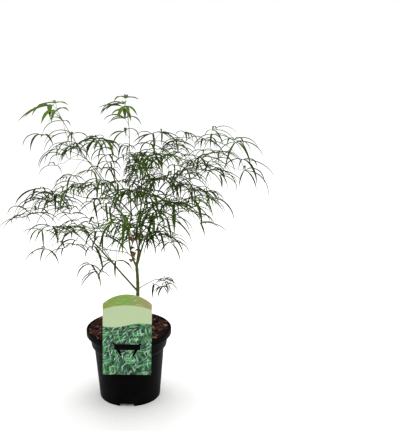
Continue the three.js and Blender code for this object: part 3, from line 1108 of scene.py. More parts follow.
def edit_edges(piece: Piece, test: Callable[[Sequence[float], Sequence[float]], bool]) -> None:
    """Opens a piece in edit mode with the edges selected whose two ends pass a test.

    Args:
        piece: The object.
        test: The test, which takes the two ends' places in metres.
    """
    choose(piece)
    mesh = piece.data
    for group in (mesh.vertices, mesh.edges, mesh.polygons):
        group.foreach_set("select", [False] * len(group))
    for edge in mesh.edges:
        ends = [mesh.vertices[k] for k in edge.vertices]
        if test(ends[0].co, ends[1].co):
            edge.select = True
            for end in ends:
                end.select = True
    bpy.ops.object.mode_set(mode="EDIT")
    bpy.ops.mesh.select_mode(type="EDGE")


class Turning:
    """A piece turned about Z, drawn out ring by ring from its first ring."""

    def __init__(self, name: str, outline: Sequence[tuple[float, float]], sides: int) -> None:
        """Draws the piece out.

        Args:
            name: Its name.
            outline: The radius and height of each ring, from the underside round to the top.
            sides: How many sides it has.
        """
        (radius, height), *rest = outline
        choose()
        bpy.ops.mesh.primitive_circle_add(vertices=sides, radius=radius * MM, location=(0, 0, height * MM))
        self.piece = named(name)
        bpy.ops.object.mode_set(mode="EDIT")
        bpy.ops.mesh.select_mode(type="EDGE")
        bpy.ops.mesh.select_all(action="SELECT")
        for next_radius, next_height in rest:
            bpy.ops.mesh.extrude_edges_move(
                TRANSFORM_OT_translate={"value": (0, 0, (next_height - height) * MM)}
            )
            size = next_radius / radius
            bpy.ops.transform.resize(value=(size, size, 1), center_override=(0, 0, next_height * MM))
            radius, height = next_radius, next_height
        bpy.ops.mesh.edge_face_add()
        bpy.ops.object.mode_set(mode="OBJECT")
        reach, low = (value * MM for value in outline[0])

        def at_start(end: Sequence[float]) -> bool:
            """Whether a corner is on the first ring."""
            return abs(end[2] - low) < 1e-6 and abs(math.hypot(end[0], end[1]) - reach) < 1e-5

        edit_edges(self.piece, lambda one, two: at_start(one) and at_start(two))
        bpy.ops.mesh.edge_face_add()
        bpy.ops.mesh.select_all(action="SELECT")
        bpy.ops.mesh.normals_make_consistent(inside=False)
        bpy.ops.object.mode_set(mode="OBJECT")


def box_cutter(size: Sequence[float], place: Sequence[float], turn: Sequence[float] = (0, 0, 0)) -> Piece:
    """A box that cuts another piece.

    Args:
        size: Its sides.
        place: Its middle.
        turn: Its rotation about X, Y and Z, in degrees.

    Returns:
        The box.
    """
    choose()
    bpy.ops.mesh.primitive_cube_add(
        size=1,
        location=[value * MM for value in place],
        rotation=[math.radians(value) for value in turn],
        scale=[value * MM for value in size],
    )
    return named("cutter")


def finish_piece(piece: Piece, slot: str, *nodes: str) -> None:
    """Lets a piece ride on the plant's body and hides the solids that it stands for.

    Args:
        piece: The object.
        slot: Not used.
        *nodes: The names of the solids that it stands for.
    """
    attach(piece, BODY)
    if nodes:
        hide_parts(*nodes)
    mesh = piece.data
    mesh.calc_loop_triangles()
    log.info("%s: %d triangles", piece.name, len(mesh.loop_triangles))


# ---- Finishes ----


def shade(colour: str) -> tuple[float, float, float, float]:
    """A colour such as #3f6127 in Blender's linear values."""
    parts = [int(colour[k : k + 2], 16) / 255 for k in (1, 3, 5)]
    return (*[part / 12.92 if part <= 0.04045 else ((part + 0.055) / 1.055) ** 2.4 for part in parts], 1.0)


class Recipe:
    """A node tree that is being written, for a material or a shared group."""

    def __init__(self, tree: bpy.types.NodeTree) -> None:
        """Takes an empty node tree."""
        self.tree = tree

    def node(
        self, kind: str, inputs: dict[str | int, object] | None = None, **settings: object
    ) -> bpy.types.Node:
        """Adds a node.

        Args:
            kind: The node's type, without its first word.
            inputs: What goes into its sockets: a value, or another node's socket, which is linked.
            **settings: Its settings.

        Returns:
            The node.
        """
        made = self.tree.nodes.new(f"ShaderNode{kind}")
        for key, value in settings.items():
            setattr(made, key, value)
        for key, value in (inputs or {}).items():
            self.put(value, made.inputs[key])
        return made

    def put(self, value: object, socket: Socket) -> None:
        """Links a socket to another node's, or sets its value.

        Args:
            value: The socket or the value.
            socket: The socket that takes it.
        """
        if isinstance(value, Socket):
            self.tree.links.new(value, socket)
        else:
            socket.default_value = value

    def math(self, operation: str, *values: object, clamp: bool = False) -> Socket:
        """The result of a sum on numbers or sockets."""
        return self.node("Math", dict(enumerate(values)), operation=operation, use_clamp=clamp).outputs[0]

    def blend(self, factor: object, first: object, second: object) -> Socket:
        """A colour between two others."""
        made = self.node("Mix", {0: factor, 6: first, 7: second}, data_type="RGBA")
        return made.outputs[2]

    def group(self, tree: bpy.types.NodeTree, inputs: dict[str, object]) -> bpy.types.Node:
        """Adds a shared group with its own values."""
        return self.node("Group", inputs, node_tree=tree)

    def place(self, scale: Sequence[float] = (1, 1, 1), turn: float = 0.0) -> Socket:
        """Object coordinates in metres, stretched and turned about Z by degrees.

        Args:
            scale: How far each axis is stretched.
            turn: How far it is turned.

        Returns:
            The socket of the coordinates.
        """
        spot = self.node("TexCoord").outputs["Object"]
        turns = (0, 0, math.radians(turn))
        return self.node("Mapping", {"Vector": spot, "Rotation": turns, "Scale": tuple(scale)}).outputs[0]


class GroupRecipe(Recipe):
    """A shader node group that is being written, with what goes in and what comes out."""

    def __init__(self, name: str, inputs: dict[str, tuple[str, object]], outputs: dict[str, str]) -> None:
        """Starts the group.

        Args:
            name: The group's name.
            inputs: For each input, its kind of socket and its usual value.
            outputs: For each output, its kind of socket.
        """
        super().__init__(bpy.data.node_groups.new(name, "ShaderNodeTree"))
        for key, (kind, value) in inputs.items():
            socket = self.add_socket(key, "INPUT", kind)
            if value is not None:
                socket.default_value = value
        for key, kind in outputs.items():
            self.add_socket(key, "OUTPUT", kind)
        self.given = self.tree.nodes.new("NodeGroupInput").outputs
        self.wanted = self.tree.nodes.new("NodeGroupOutput").inputs

    def add_socket(self, key: str, way: str, kind: str) -> bpy.types.NodeTreeInterfaceSocket:
        """Gives the group a named input or output."""
        return self.tree.interface.new_socket(key, in_out=way, socket_type=f"NodeSocket{kind}")


@lru_cache
def mottle() -> bpy.types.NodeTree:
    """The group that deals two colours out in soft patches.

    Returns:
        The group.
    """
    recipe = GroupRecipe(
        "mottle",
        {
            "Place": ("Vector", None),
            "First": ("Color", (0.5, 0.5, 0.5, 1)),
            "Second": ("Color", (0.5, 0.5, 0.5, 1)),
            "Scale": ("Float", 100.0),
            "Contrast": ("Float", 4.0),
        },
        {"Colour": "Color", "Mask": "Float"},
    )
    given = recipe.given
    noise = recipe.node("TexNoise", {"Vector": given["Place"], "Scale": given["Scale"], "Detail": 4.0})
    raised = recipe.math("SUBTRACT", noise.outputs["Fac"], 0.5)
    sharper = recipe.math("MULTIPLY", raised, given["Contrast"])
    mask = recipe.math("ADD", sharper, 0.5, clamp=True)
    recipe.put(recipe.blend(mask, given["First"], given["Second"]), recipe.wanted["Colour"])
    recipe.put(mask, recipe.wanted["Mask"])
    return recipe.tree


@lru_cache
def grain() -> bpy.types.NodeTree:
    """The group that gives a fine relief of two sizes of grain.

    Returns:
        The group.
    """
    recipe = GroupRecipe(
        "grain",
        {"Place": ("Vector", None), "Scale": ("Float", 800.0), "Coarse": ("Float", 0.5)},
        {"Height": "Float"},
    )
    given = recipe.given
    fine = recipe.node("TexNoise", {"Vector": given["Place"], "Scale": given["Scale"], "Detail": 3.0})
    wide_scale = recipe.math("MULTIPLY", given["Scale"], 0.18)
    wide = recipe.node("TexNoise", {"Vector": given["Place"], "Scale": wide_scale, "Detail": 2.0})
    coarse = recipe.math("MULTIPLY", wide.outputs["Fac"], given["Coarse"])
    recipe.put(recipe.math("ADD", fine.outputs["Fac"], coarse), recipe.wanted["Height"])
    return recipe.tree


@lru_cache
def printed_blades() -> bpy.types.NodeTree:
    """The group that prints one layer of narrow leaf blades over a colour.

    Returns:
        The group.
    """
    recipe = GroupRecipe(
        "printed_blades",
        {
            "Place": ("Vector", None),
            "Under": ("Color", (0, 0, 0, 1)),
            "Over": ("Color", (1, 1, 1, 1)),
            "Turn": ("Float", 0.0),
            "Across": ("Float", 400.0),
            "Along": ("Float", 60.0),
            "Reach": ("Float", 0.35),
        },
        {"Colour": "Color"},
    )
    given = recipe.given
    drift = recipe.node("TexNoise", {"Vector": given["Place"], "Scale": 38.0, "Detail": 0.0})
    bent = recipe.node(
        "VectorMath", {0: drift.outputs["Color"], 1: (0.012, 0.012, 0.0)}, operation="MULTIPLY"
    ).outputs[0]
    moved = recipe.node("VectorMath", {0: given["Place"], 1: bent}, operation="ADD").outputs[0]
    spun = recipe.node("VectorRotate", {"Vector": moved, "Angle": given["Turn"]}, rotation_type="Z_AXIS")
    size = recipe.node("CombineXYZ", {0: given["Across"], 1: given["Along"], 2: 1.0}).outputs[0]
    spread = recipe.node("VectorMath", {0: spun.outputs[0], 1: size}, operation="MULTIPLY").outputs[0]
    cells = recipe.node(
        "TexVoronoi",
        {"Vector": spread, "Scale": 1.0, "Exponent": 0.9},
        voronoi_dimensions="2D",
        distance="MINKOWSKI",
    )
    edge = recipe.math("SUBTRACT", given["Reach"], cells.outputs["Distance"])
    mask = recipe.math("MULTIPLY", edge, 9.0, clamp=True)
    tone = recipe.node("SeparateColor", {0: cells.outputs["Color"]}).outputs[0]
    dim = recipe.blend(tone, given["Under"], given["Over"])
    recipe.put(recipe.blend(mask, given["Under"], dim), recipe.wanted["Colour"])
    return recipe.tree


@dataclass(frozen=True)
class Finish:
    """A finish with soft patches of two colours and a fine relief.

    The patches are given in so many per metre, and so is the grain.
    """

    name: str
    first: str
    second: str
    roughness: float = 0.6
    patches: float = 120.0
    contrast: float = 3.0
    grain_scale: float = 900.0
    grain_depth: float = 0.1
    stretch: tuple[float, float, float] = (1.0, 1.0, 1.0)
    specular: float = 0.5

    def colours(self, recipe: Recipe, place: Socket) -> Socket:
        """The colour socket of the finish.

        Args:
            recipe: The material's node tree.
            place: The coordinates of its patterns.

        Returns:
            The socket.
        """
        values = {
            "Place": place,
            "First": shade(self.first),
            "Second": shade(self.second),
            "Scale": self.patches,
            "Contrast": self.contrast,
        }
        return recipe.group(mottle(), values).outputs["Colour"]

    def rough(self, recipe: Recipe, place: Socket) -> object:
        """The roughness of the finish: a number, or a socket where it changes over the surface."""
        return self.roughness

    def height(self, recipe: Recipe, place: Socket) -> Socket:
        """The relief of the finish."""
        return recipe.group(grain(), {"Place": place, "Scale": self.grain_scale}).outputs["Height"]

    @lru_cache
    def material(self) -> bpy.types.Material:
        """The material of the finish, which is made once.

        Returns:
            The material.
        """
        made = bpy.data.materials.new(self.name)
        made.use_nodes = True
        made.diffuse_color = shade(self.first)
        recipe = Recipe(made.node_tree)
        shader = made.node_tree.nodes["Principled BSDF"]
        place = recipe.place(self.stretch)
        recipe.put(self.colours(recipe, place), shader.inputs["Base Color"])
        recipe.put(self.rough(recipe, place), shader.inputs["Roughness"])
        recipe.put(self.specular, shader.inputs["Specular IOR Level"])
        relief = {"Height": self.height(recipe, place), "Distance": self.grain_depth * MM, "Strength": 1.0}
        recipe.put(recipe.node("Bump", relief).outputs["Normal"], shader.inputs["Normal"])
        return made


@dataclass(frozen=True)
class MouldedPlastic(Finish):
    """Satin plastic with a little dust in soft patches, which also dulls it."""

    dust: str = "#131210"
    dust_patches: float = 26.0
    dust_height: float = 0.06
    dust_at_foot: float = 0.5
    dust_above: float = 0.12
    dust_dulls: float = 0.3

    def dust_mask(self, recipe: Recipe, place: Socket) -> Socket:
        """Where the dust lies: in patches, and most near the foot.

        Args:
            recipe: The material's node tree.
            place: The coordinates of its patterns.

        Returns:
            The socket of the mask.
        """
        values = {"Place": place, "Scale": self.dust_patches, "Contrast": 2.6}
        patches = recipe.group(mottle(), values).outputs["Mask"]
        height = recipe.node("SeparateXYZ", {0: place}).outputs[2]
        reach = {0: height, 1: 0.0, 2: self.dust_height, 3: self.dust_at_foot, 4: self.dust_above}
        return recipe.math("MULTIPLY", patches, recipe.node("MapRange", reach).outputs[0])

    def colours(self, recipe: Recipe, place: Socket) -> Socket:
        """The plastic's colour under its dust."""
        plain = super().colours(recipe, place)
        return recipe.blend(self.dust_mask(recipe, place), plain, shade(self.dust))

    def rough(self, recipe: Recipe, place: Socket) -> Socket:
        """Duller where the dust lies."""
        return recipe.math("MULTIPLY_ADD", self.dust_mask(recipe, place), self.dust_dulls, self.roughness)


@dataclass(frozen=True)
class Bark(Finish):
    """Smooth young bark with fine lengthwise streaks and small pale pores, browner near the ground.

    Its age goes by height in metres, and its pores are in spots per metre.
    """

    old: str = "#463a28"
    old_from: float = 0.15
    old_to: float = 0.24
    oldest: float = 0.85
    pore: str = "#66703f"
    pores: float = 260.0
    pore_size: float = 0.16

    def colours(self, recipe: Recipe, place: Socket) -> Socket:
        """The bark's patches, with its age and its pores.

        Args:
            recipe: The material's node tree.
            place: The coordinates of its patterns.

        Returns:
            The socket of the colour.
        """
        green = super().colours(recipe, place)
        spot = recipe.place()
        height = recipe.node("SeparateXYZ", {0: spot}).outputs[2]
        ages = {0: height, 1: self.old_from, 2: self.old_to, 3: self.oldest, 4: 0.0}
        age = recipe.node("MapRange", ages).outputs[0]
        patches = recipe.group(mottle(), {"Place": spot, "Scale": 160.0, "Contrast": 3.0}).outputs["Mask"]
        aged = recipe.blend(recipe.math("MULTIPLY", age, patches), green, shade(self.old))
        cells = recipe.node("TexVoronoi", {"Vector": spot, "Scale": self.pores}).outputs["Distance"]
        pores = recipe.math("MULTIPLY", recipe.math("SUBTRACT", self.pore_size, cells), 14.0, clamp=True)
        return recipe.blend(recipe.math("MULTIPLY", pores, 0.6), aged, shade(self.pore))


@dataclass(frozen=True)
class CardPrint(Finish):
    """The label's print: a coloured band under its arch, a pale field and a picture of thin leaves.

    Each layer of blades has a colour, a turn in degrees, how many stand side by side and end to end in
    a metre, and how much of its cell a blade fills. Heights are in metres.
    """

    turn: float = 3.0
    lean: float = 1.5
    hang: float = 0.155
    field_edge: float = 0.206
    field_wave: tuple[float, float] = (48.0, 0.005)
    band_edge: float = 0.252
    band_bulge: float = -3.6
    pale: str = "#a9bb92"
    band: tuple[str, str, str] = ("#7d8c3a", "#6f9440", "#93865a")
    streak: tuple[str, float, float, float, float] = ("#b4bf86", 68, 300, 34, 0.26)
    ground: tuple[str, str] = ("#03100a", "#123f2a")
    blades: tuple[tuple[str, float, float, float, float], ...] = (
        ("#2f7a4b", 20, 130, 20, 0.46),
        ("#448c43", -38, 120, 22, 0.42),
        ("#5d9e75", 58, 160, 24, 0.38),
        ("#020a06", -62, 120, 26, 0.38),
        ("#8fc6a6", -14, 200, 28, 0.32),
        ("#020a06", 16, 130, 30, 0.32),
        ("#7fc07a", 80, 170, 26, 0.3),
        ("#b9dcc2", 38, 240, 30, 0.26),
    )

    @staticmethod
    def print_layer(recipe: Recipe, place: Socket, under: object, layer: Sequence[object]) -> Socket:
        """Prints one layer of blades over a colour.

        Args:
            recipe: The material's recipe.
            place: The place on the card.
            under: The colour that is printed over.
            layer: The layer, as blades lists them.

        Returns:
            The colour with the layer on it.
        """
        colour, turn, across, along_them, reach = layer
        values = {
            "Place": place,
            "Under": under,
            "Over": shade(colour),
            "Turn": math.radians(turn),
            "Across": float(across),
            "Along": float(along_them),
            "Reach": reach,
        }
        return recipe.group(printed_blades(), values).outputs["Colour"]

    def colours(self, recipe: Recipe, place: Socket) -> Socket:
        """The print's colours from its place on the card.

        Args:
            recipe: The material's node tree.
            place: The coordinates of its patterns.

        Returns:
            The socket of the colour.
        """
        upright = recipe.place(turn=self.turn)
        pivot = {"Vector": upright, "Center": (0, 0, self.hang), "Angle": math.radians(-self.lean)}
        spot = recipe.node("VectorRotate", pivot, rotation_type="Y_AXIS").outputs[0]
        parts = recipe.node("SeparateXYZ", {0: spot}).outputs
        across, height = parts[0], parts[2]
        flat = recipe.node("CombineXYZ", {0: across, 1: height}).outputs[0]
        values = {
            "Place": flat,
            "First": shade(self.ground[0]),
            "Second": shade(self.ground[1]),
            "Scale": 70.0,
            "Contrast": 3.0,
        }
        picture = recipe.group(mottle(), values).outputs["Colour"]
        for layer in self.blades:
            picture = self.print_layer(recipe, flat, picture, layer)
        share = recipe.node("MapRange", {0: across, 1: -0.05, 2: 0.05}).outputs[0]
        ramp = recipe.node("ValToRGB", {0: share})
        stops = ramp.color_ramp.elements
        stops[0].color = shade(self.band[0])
        stops[1].color = shade(self.band[2])
        stops.new(0.45).color = shade(self.band[1])
        streaks = self.print_layer(recipe, flat, ramp.outputs["Color"], self.streak)
        waves, swing = self.field_wave
        wave = recipe.math("SINE", recipe.math("MULTIPLY", across, waves))
        field_line = recipe.math("MULTIPLY_ADD", wave, swing, self.field_edge)
        in_field = recipe.math("GREATER_THAN", height, field_line)
        bulge = recipe.math("MULTIPLY", recipe.math("MULTIPLY", across, across), self.band_bulge)
        band_line = recipe.math("ADD", bulge, self.band_edge)
        in_band = recipe.math("GREATER_THAN", height, band_line)
        upper = recipe.blend(in_band, shade(self.pale), streaks)
        return recipe.blend(in_field, picture, upper)


class Tint(Enum):
    """The greens that leaves are dealt, from the darkest to the brightest. The darkest is partly the
    leaves' own deep green and partly painted shade for the shaded leaves inside the crown.
    """

    # The darkest green: partly the leaves' own deep tone, partly painted shade for leaves in the crown's
    # shadow. It is dealt by chance, not by where shade falls.
    DEEP = Finish("leaf_deep_and_painted_shade", "#192404", "#233206", 0.5, 300, 2.5, 2600, 0.04, specular=0.04)
    PLAIN = Finish("leaf_plain", "#253704", "#314807", 0.5, 300, 2.5, 2600, 0.04, specular=0.04)
    FRESH = Finish("leaf_fresh", "#314806", "#405a09", 0.5, 300, 2.5, 2600, 0.04, specular=0.04)
    YOUNG = Finish("leaf_young", "#3b5406", "#4c670b", 0.5, 300, 2.5, 2600, 0.04, specular=0.04)


POT_PLASTIC = MouldedPlastic("black_plastic", "#020203", "#050506", 0.45, 60, 2, 1400, 0.05, specular=0.018)
COMPOST = Finish("damp_bed", "#150c09", "#261610", 0.95, 220, 3.5, 500, 1.2, specular=0.1)
CHIP_FINISHES = (
    Finish("chip_dark", "#0d0706", "#180d0c", 0.9, 260, 3, 700, 0.5, (1, 1, 3), specular=0.1),
    Finish("chip_red", "#2a130f", "#42221c", 0.85, 260, 3, 700, 0.5, (1, 1, 3), specular=0.1),
    Finish("chip_brown", "#452a22", "#634033", 0.85, 260, 3, 700, 0.5, (1, 1, 3), specular=0.1),
    Finish("chip_tan", "#7c5b48", "#a5836b", 0.8, 260, 3, 700, 0.4, (1, 1, 3), specular=0.1),
)
CARD_PRINT = CardPrint(
    "card_print", "#2c6848", "#123626", 0.36, grain_scale=1500, grain_depth=0.02, specular=0.3
)
CARD_STOCK = Finish("card_stock", "#c3c9bb", "#ccd1c5", 0.5, 90, 2, 2000, 0.02)
BARK = Bark("young_bark", "#323e0c", "#485813", 0.55, 900, 2.6, 1500, 0.12, (1, 1, 0.12), 0.25)
BOUGH_BARK = Bark("bough_bark", "#2e3a0c", "#445213", 0.5, 500, 2.6, 1500, 0.08, (1, 1, 0.4), 0.25)
TWIG_GREEN = Finish("twig_green", "#262f0d", "#343f14", 0.5, 400, 3, 2200, 0.04, specular=0.2)
STALK_GREEN = Finish("stalk_green", "#46560f", "#586a16", 0.5, 300, 2, 2200, 0.03, specular=0.2)
RIB_GREEN = Finish("rib_green", "#2e400c", "#3a4f12", 0.5, 300, 2, 2200, 0.02, specular=0.2)
DRY_LEAF = Finish("dry_leaf", "#4f2f20", "#94704f", 0.8, 200, 3, 900, 0.3, specular=0.1)


# ---- Pot ----


@dataclass
class Pot:
    """The black nursery pot, with its rim band, collar, shoulder, foot ring, notches and drain holes."""

    height: float = 161.0
    wall: float = 1.8
    rim_radius: float = 95.0
    rim_band: float = 12.0
    rim_thickness: float = 2.4
    rim_round: float = 1.0
    draft: float = 0.6
    collar_radius: float = 88.8
    shoulder: tuple[float, float] = (84.0, 124.0)
    body_top: tuple[float, float] = (78.0, 117.0)
    foot_radius: float = 68.0
    foot_ring: float = 4.5
    channel: tuple[float, float] = (46.0, 6.0)
    notches: int = 3
    notch_size: tuple[float, float] = (32.0, 5.8)
    first_notch: float = -97.0
    drains: int = 6
    drain_radius: float = 5.0
    drain_ring: float = 54.5
    first_drain: float = -67.0
    drain_sides: int = 24
    sides: int = 128
    bevel: float = 0.35

    def outside(self) -> list[tuple[float, float]]:
        """The rings from the middle of the underside up to the rim.

        Returns:
            The radius and height of each ring.
        """
        inner, rise = self.channel
        ring = self.foot_radius - self.foot_ring
        band = self.height - self.rim_band
        return [
            (inner, 0),
            (inner + self.draft, rise),
            (ring - self.draft, rise),
            (ring, 0),
            (self.foot_radius, 0),
            self.body_top,
            self.shoulder,
            (self.collar_radius, band),
            (self.rim_radius - self.rim_round, band),
            (self.rim_radius, band + self.rim_round),
            (self.rim_radius, self.height - self.rim_round),
            (self.rim_radius - self.rim_round, self.height),
        ]

    def inside(self) -> list[tuple[float, float]]:
        """The rings from the rim down to the middle of the floor.

        Returns:
            The radius and height of each ring.
        """
        inner, rise = self.channel
        return [
            (self.rim_radius - self.rim_thickness, self.height),
            (self.collar_radius - self.wall, self.height - self.rim_band - self.wall),
            (self.shoulder[0] - self.wall, self.shoulder[1]),
            (self.body_top[0] - self.wall, self.body_top[1]),
            (self.foot_radius - self.wall + self.draft, rise + self.wall),
            (inner, rise + self.wall),
            (inner - self.wall, self.wall),
        ]

    def inside_radius(self, height: float) -> float:
        """The radius inside the pot at a height between the collar and the rim."""
        (rim, top), (collar, low) = self.inside()[:2]
        return mix(collar, rim, (height - low) / (top - low))

    def cutters(self) -> list[Piece]:
        """What cuts the notches in the foot and the drain holes in the floor.

        Returns:
            The cutters.
        """
        made = []
        width, rise = self.notch_size
        for i in range(self.notches):
            turn = self.first_notch + 360 * i / self.notches
            place = direction(turn, 0) * self.foot_radius
            made.append(box_cutter((3 * self.foot_ring, width, 2 * rise), place, (0, 0, turn)))
        for i in range(self.drains):
            spot = direction(self.first_drain + 360 * i / self.drains, 0) * self.drain_ring * MM
            choose()
            bpy.ops.mesh.primitive_cylinder_add(
                vertices=self.drain_sides,
                radius=self.drain_radius * MM,
                depth=4 * self.channel[1] * MM,
                location=spot,
            )
            made.append(named("cutter"))
        return made

    def build(self) -> None:
        """Builds and dresses the pot."""
        piece = Turning("nursery_pot", self.outside() + self.inside(), self.sides).piece
        cut_away(piece, *self.cutters())
        bevel_edges(piece, self.bevel, 3, 25)
        smooth(piece, 30)
        piece.data.materials.append(POT_PLASTIC.material())
        finish_piece(piece, "pot_plastic", "pot")


# ---- Compost ----


CHIP_SIDES = 6
PER_CHIP = 20  # chances that each chip takes


@dataclass
class Compost:
    """The compost: a rough bed, and loose bark chips on it."""

    pot: Pot
    top: float
    edge: float = 158.0
    heap: float = 3.0  # how much higher the chips lie along the rim
    middle_radius: float = 45.0
    depth: float = 12.0
    undercut: float = 2.0
    relief: float = 3.0
    relief_size: float = 7.0
    relief_level: float = 0.6
    rings: int = 26
    inmost: float = 1.5  # radius of the bed's last ring
    sides: int = 120
    chips: int = 1300
    chip_length: tuple[float, float] = (6.0, 20.0)
    chip_width: tuple[float, float] = (2.4, 6.5)
    chip_thickness: tuple[float, float] = (0.8, 2.4)
    chip_bevel: float = 0.8  # size of a chip's upper face against its lower one
    chip_tilt: float = 34.0
    chip_pitch: float = 50.0
    chip_lift: tuple[float, float] = (0.4, 2.2)
    chip_turn: float = 137.508  # from each chip to the next round the middle, in degrees
    chip_tones: tuple[float, ...] = (0.38, 0.7, 0.93)  # where each finish gives way to the next
    trunk_room: float = 7.5
    seed: int = 7

    def surface(self, radius: float) -> float:
        """The height of the bed at a distance from the middle."""
        reach = self.pot.inside_radius(self.edge) - self.middle_radius
        return mix(self.top, self.edge, min(max((radius - self.middle_radius) / reach, 0), 1))

    def build_bed(self) -> None:
        """Builds the bed, closed below, with its top thrown up in small lumps."""
        wall = self.pot.inside_radius(self.edge) - CLEARANCE
        low = self.edge - self.depth
        steps = np.linspace(wall, self.inmost, self.rings)
        rings = [(wall - self.undercut, low)] + [(radius, self.surface(radius)) for radius in steps]
        piece = Turning("compost_bed", rings, self.sides).piece
        upper = piece.vertex_groups.new(name="upper")
        upper.add([v.index for v in piece.data.vertices if v.co.z > (self.top - 1) * MM], 1.0, "REPLACE")
        settings = {"direction": "Z", "vertex_group": upper.name}
        roughen(piece, "lumps", self.relief_size, self.relief, self.relief_level, **settings)
        smooth(piece, 50)
        piece.data.materials.append(COMPOST.material())
        finish_piece(piece, "compost", "soil")

    def chip(self, i: int) -> tuple[np.ndarray, list[list[int]]]:
        """One chip's corners and faces, tilted and turned about its middle.

        Args:
            i: The number of the chip.

        Returns:
            Its corners and its faces.
        """
        roll = [chance(self.seed, PER_CHIP * i + k) for k in range(14)]
        length = mix(*self.chip_length, roll[1] ** 2) / 2
        width = mix(*self.chip_width, roll[2] ** 1.5) / 2
        thickness = mix(*self.chip_thickness, roll[3]) / 2
        turns = np.linspace(0, 2 * np.pi, CHIP_SIDES, endpoint=False)
        outline = np.array([[math.cos(t) * length, math.sin(t) * width] for t in turns])
        outline *= np.array([0.75 + 0.5 * roll[4 + k] for k in range(CHIP_SIDES)])[:, None]
        upper = np.c_[outline * self.chip_bevel, np.full(CHIP_SIDES, thickness)]
        lower = np.c_[outline, np.full(CHIP_SIDES, -thickness)]
        corners = np.vstack([lower, upper])
        tilt = self.chip_tilt * (roll[11] - 0.5)
        pitch = self.chip_pitch * (roll[12] - 0.5)
        for axis, turn in zip(np.eye(3), (tilt, pitch, 360 * roll[13])):
            corners = np.array([turned_about(corner, axis, turn) for corner in corners])
        return corners, tube_faces(2, CHIP_SIDES)

    def build_chips(self) -> None:
        """Builds the chips as one joined mesh."""
        batch = Batch()
        reach = self.pot.inside_radius(self.edge) - 1.0
        foot = np.array(TRUNK.foot)
        for i in range(self.chips):
            corners, faces = self.chip(i)
            draw = PER_CHIP * i + 14
            spot_radius = reach * math.sqrt((i + chance(self.seed, draw)) / self.chips)
            turn = math.radians(self.chip_turn * i)
            spot = spot_radius * np.array([math.cos(turn), math.sin(turn)])
            inward = reach - np.linalg.norm(corners[:, :2], axis=1).max()
            if spot_radius > inward:
                spot *= inward / spot_radius
            if np.linalg.norm(spot - foot) < self.trunk_room:
                continue
            lift = self.chip_lift[0] + self.chip_lift[1] * chance(self.seed, draw + 1)
            lift += self.heap * (np.linalg.norm(spot) / reach) ** 4
            height = self.surface(np.linalg.norm(spot)) + lift
            tone = chance(self.seed, draw + 2)
            slot = sum(tone >= limit for limit in self.chip_tones)
            batch.add(corners + np.array([*spot, height]), faces, slot)
        piece = batch.build("bark_chips", [finish.material() for finish in CHIP_FINISHES], 25)
        finish_piece(piece, "compost", "soil")

    def build(self) -> None:
        """Builds the bed and its chips."""
        self.build_bed()
        self.build_chips()


# ---- Label ----


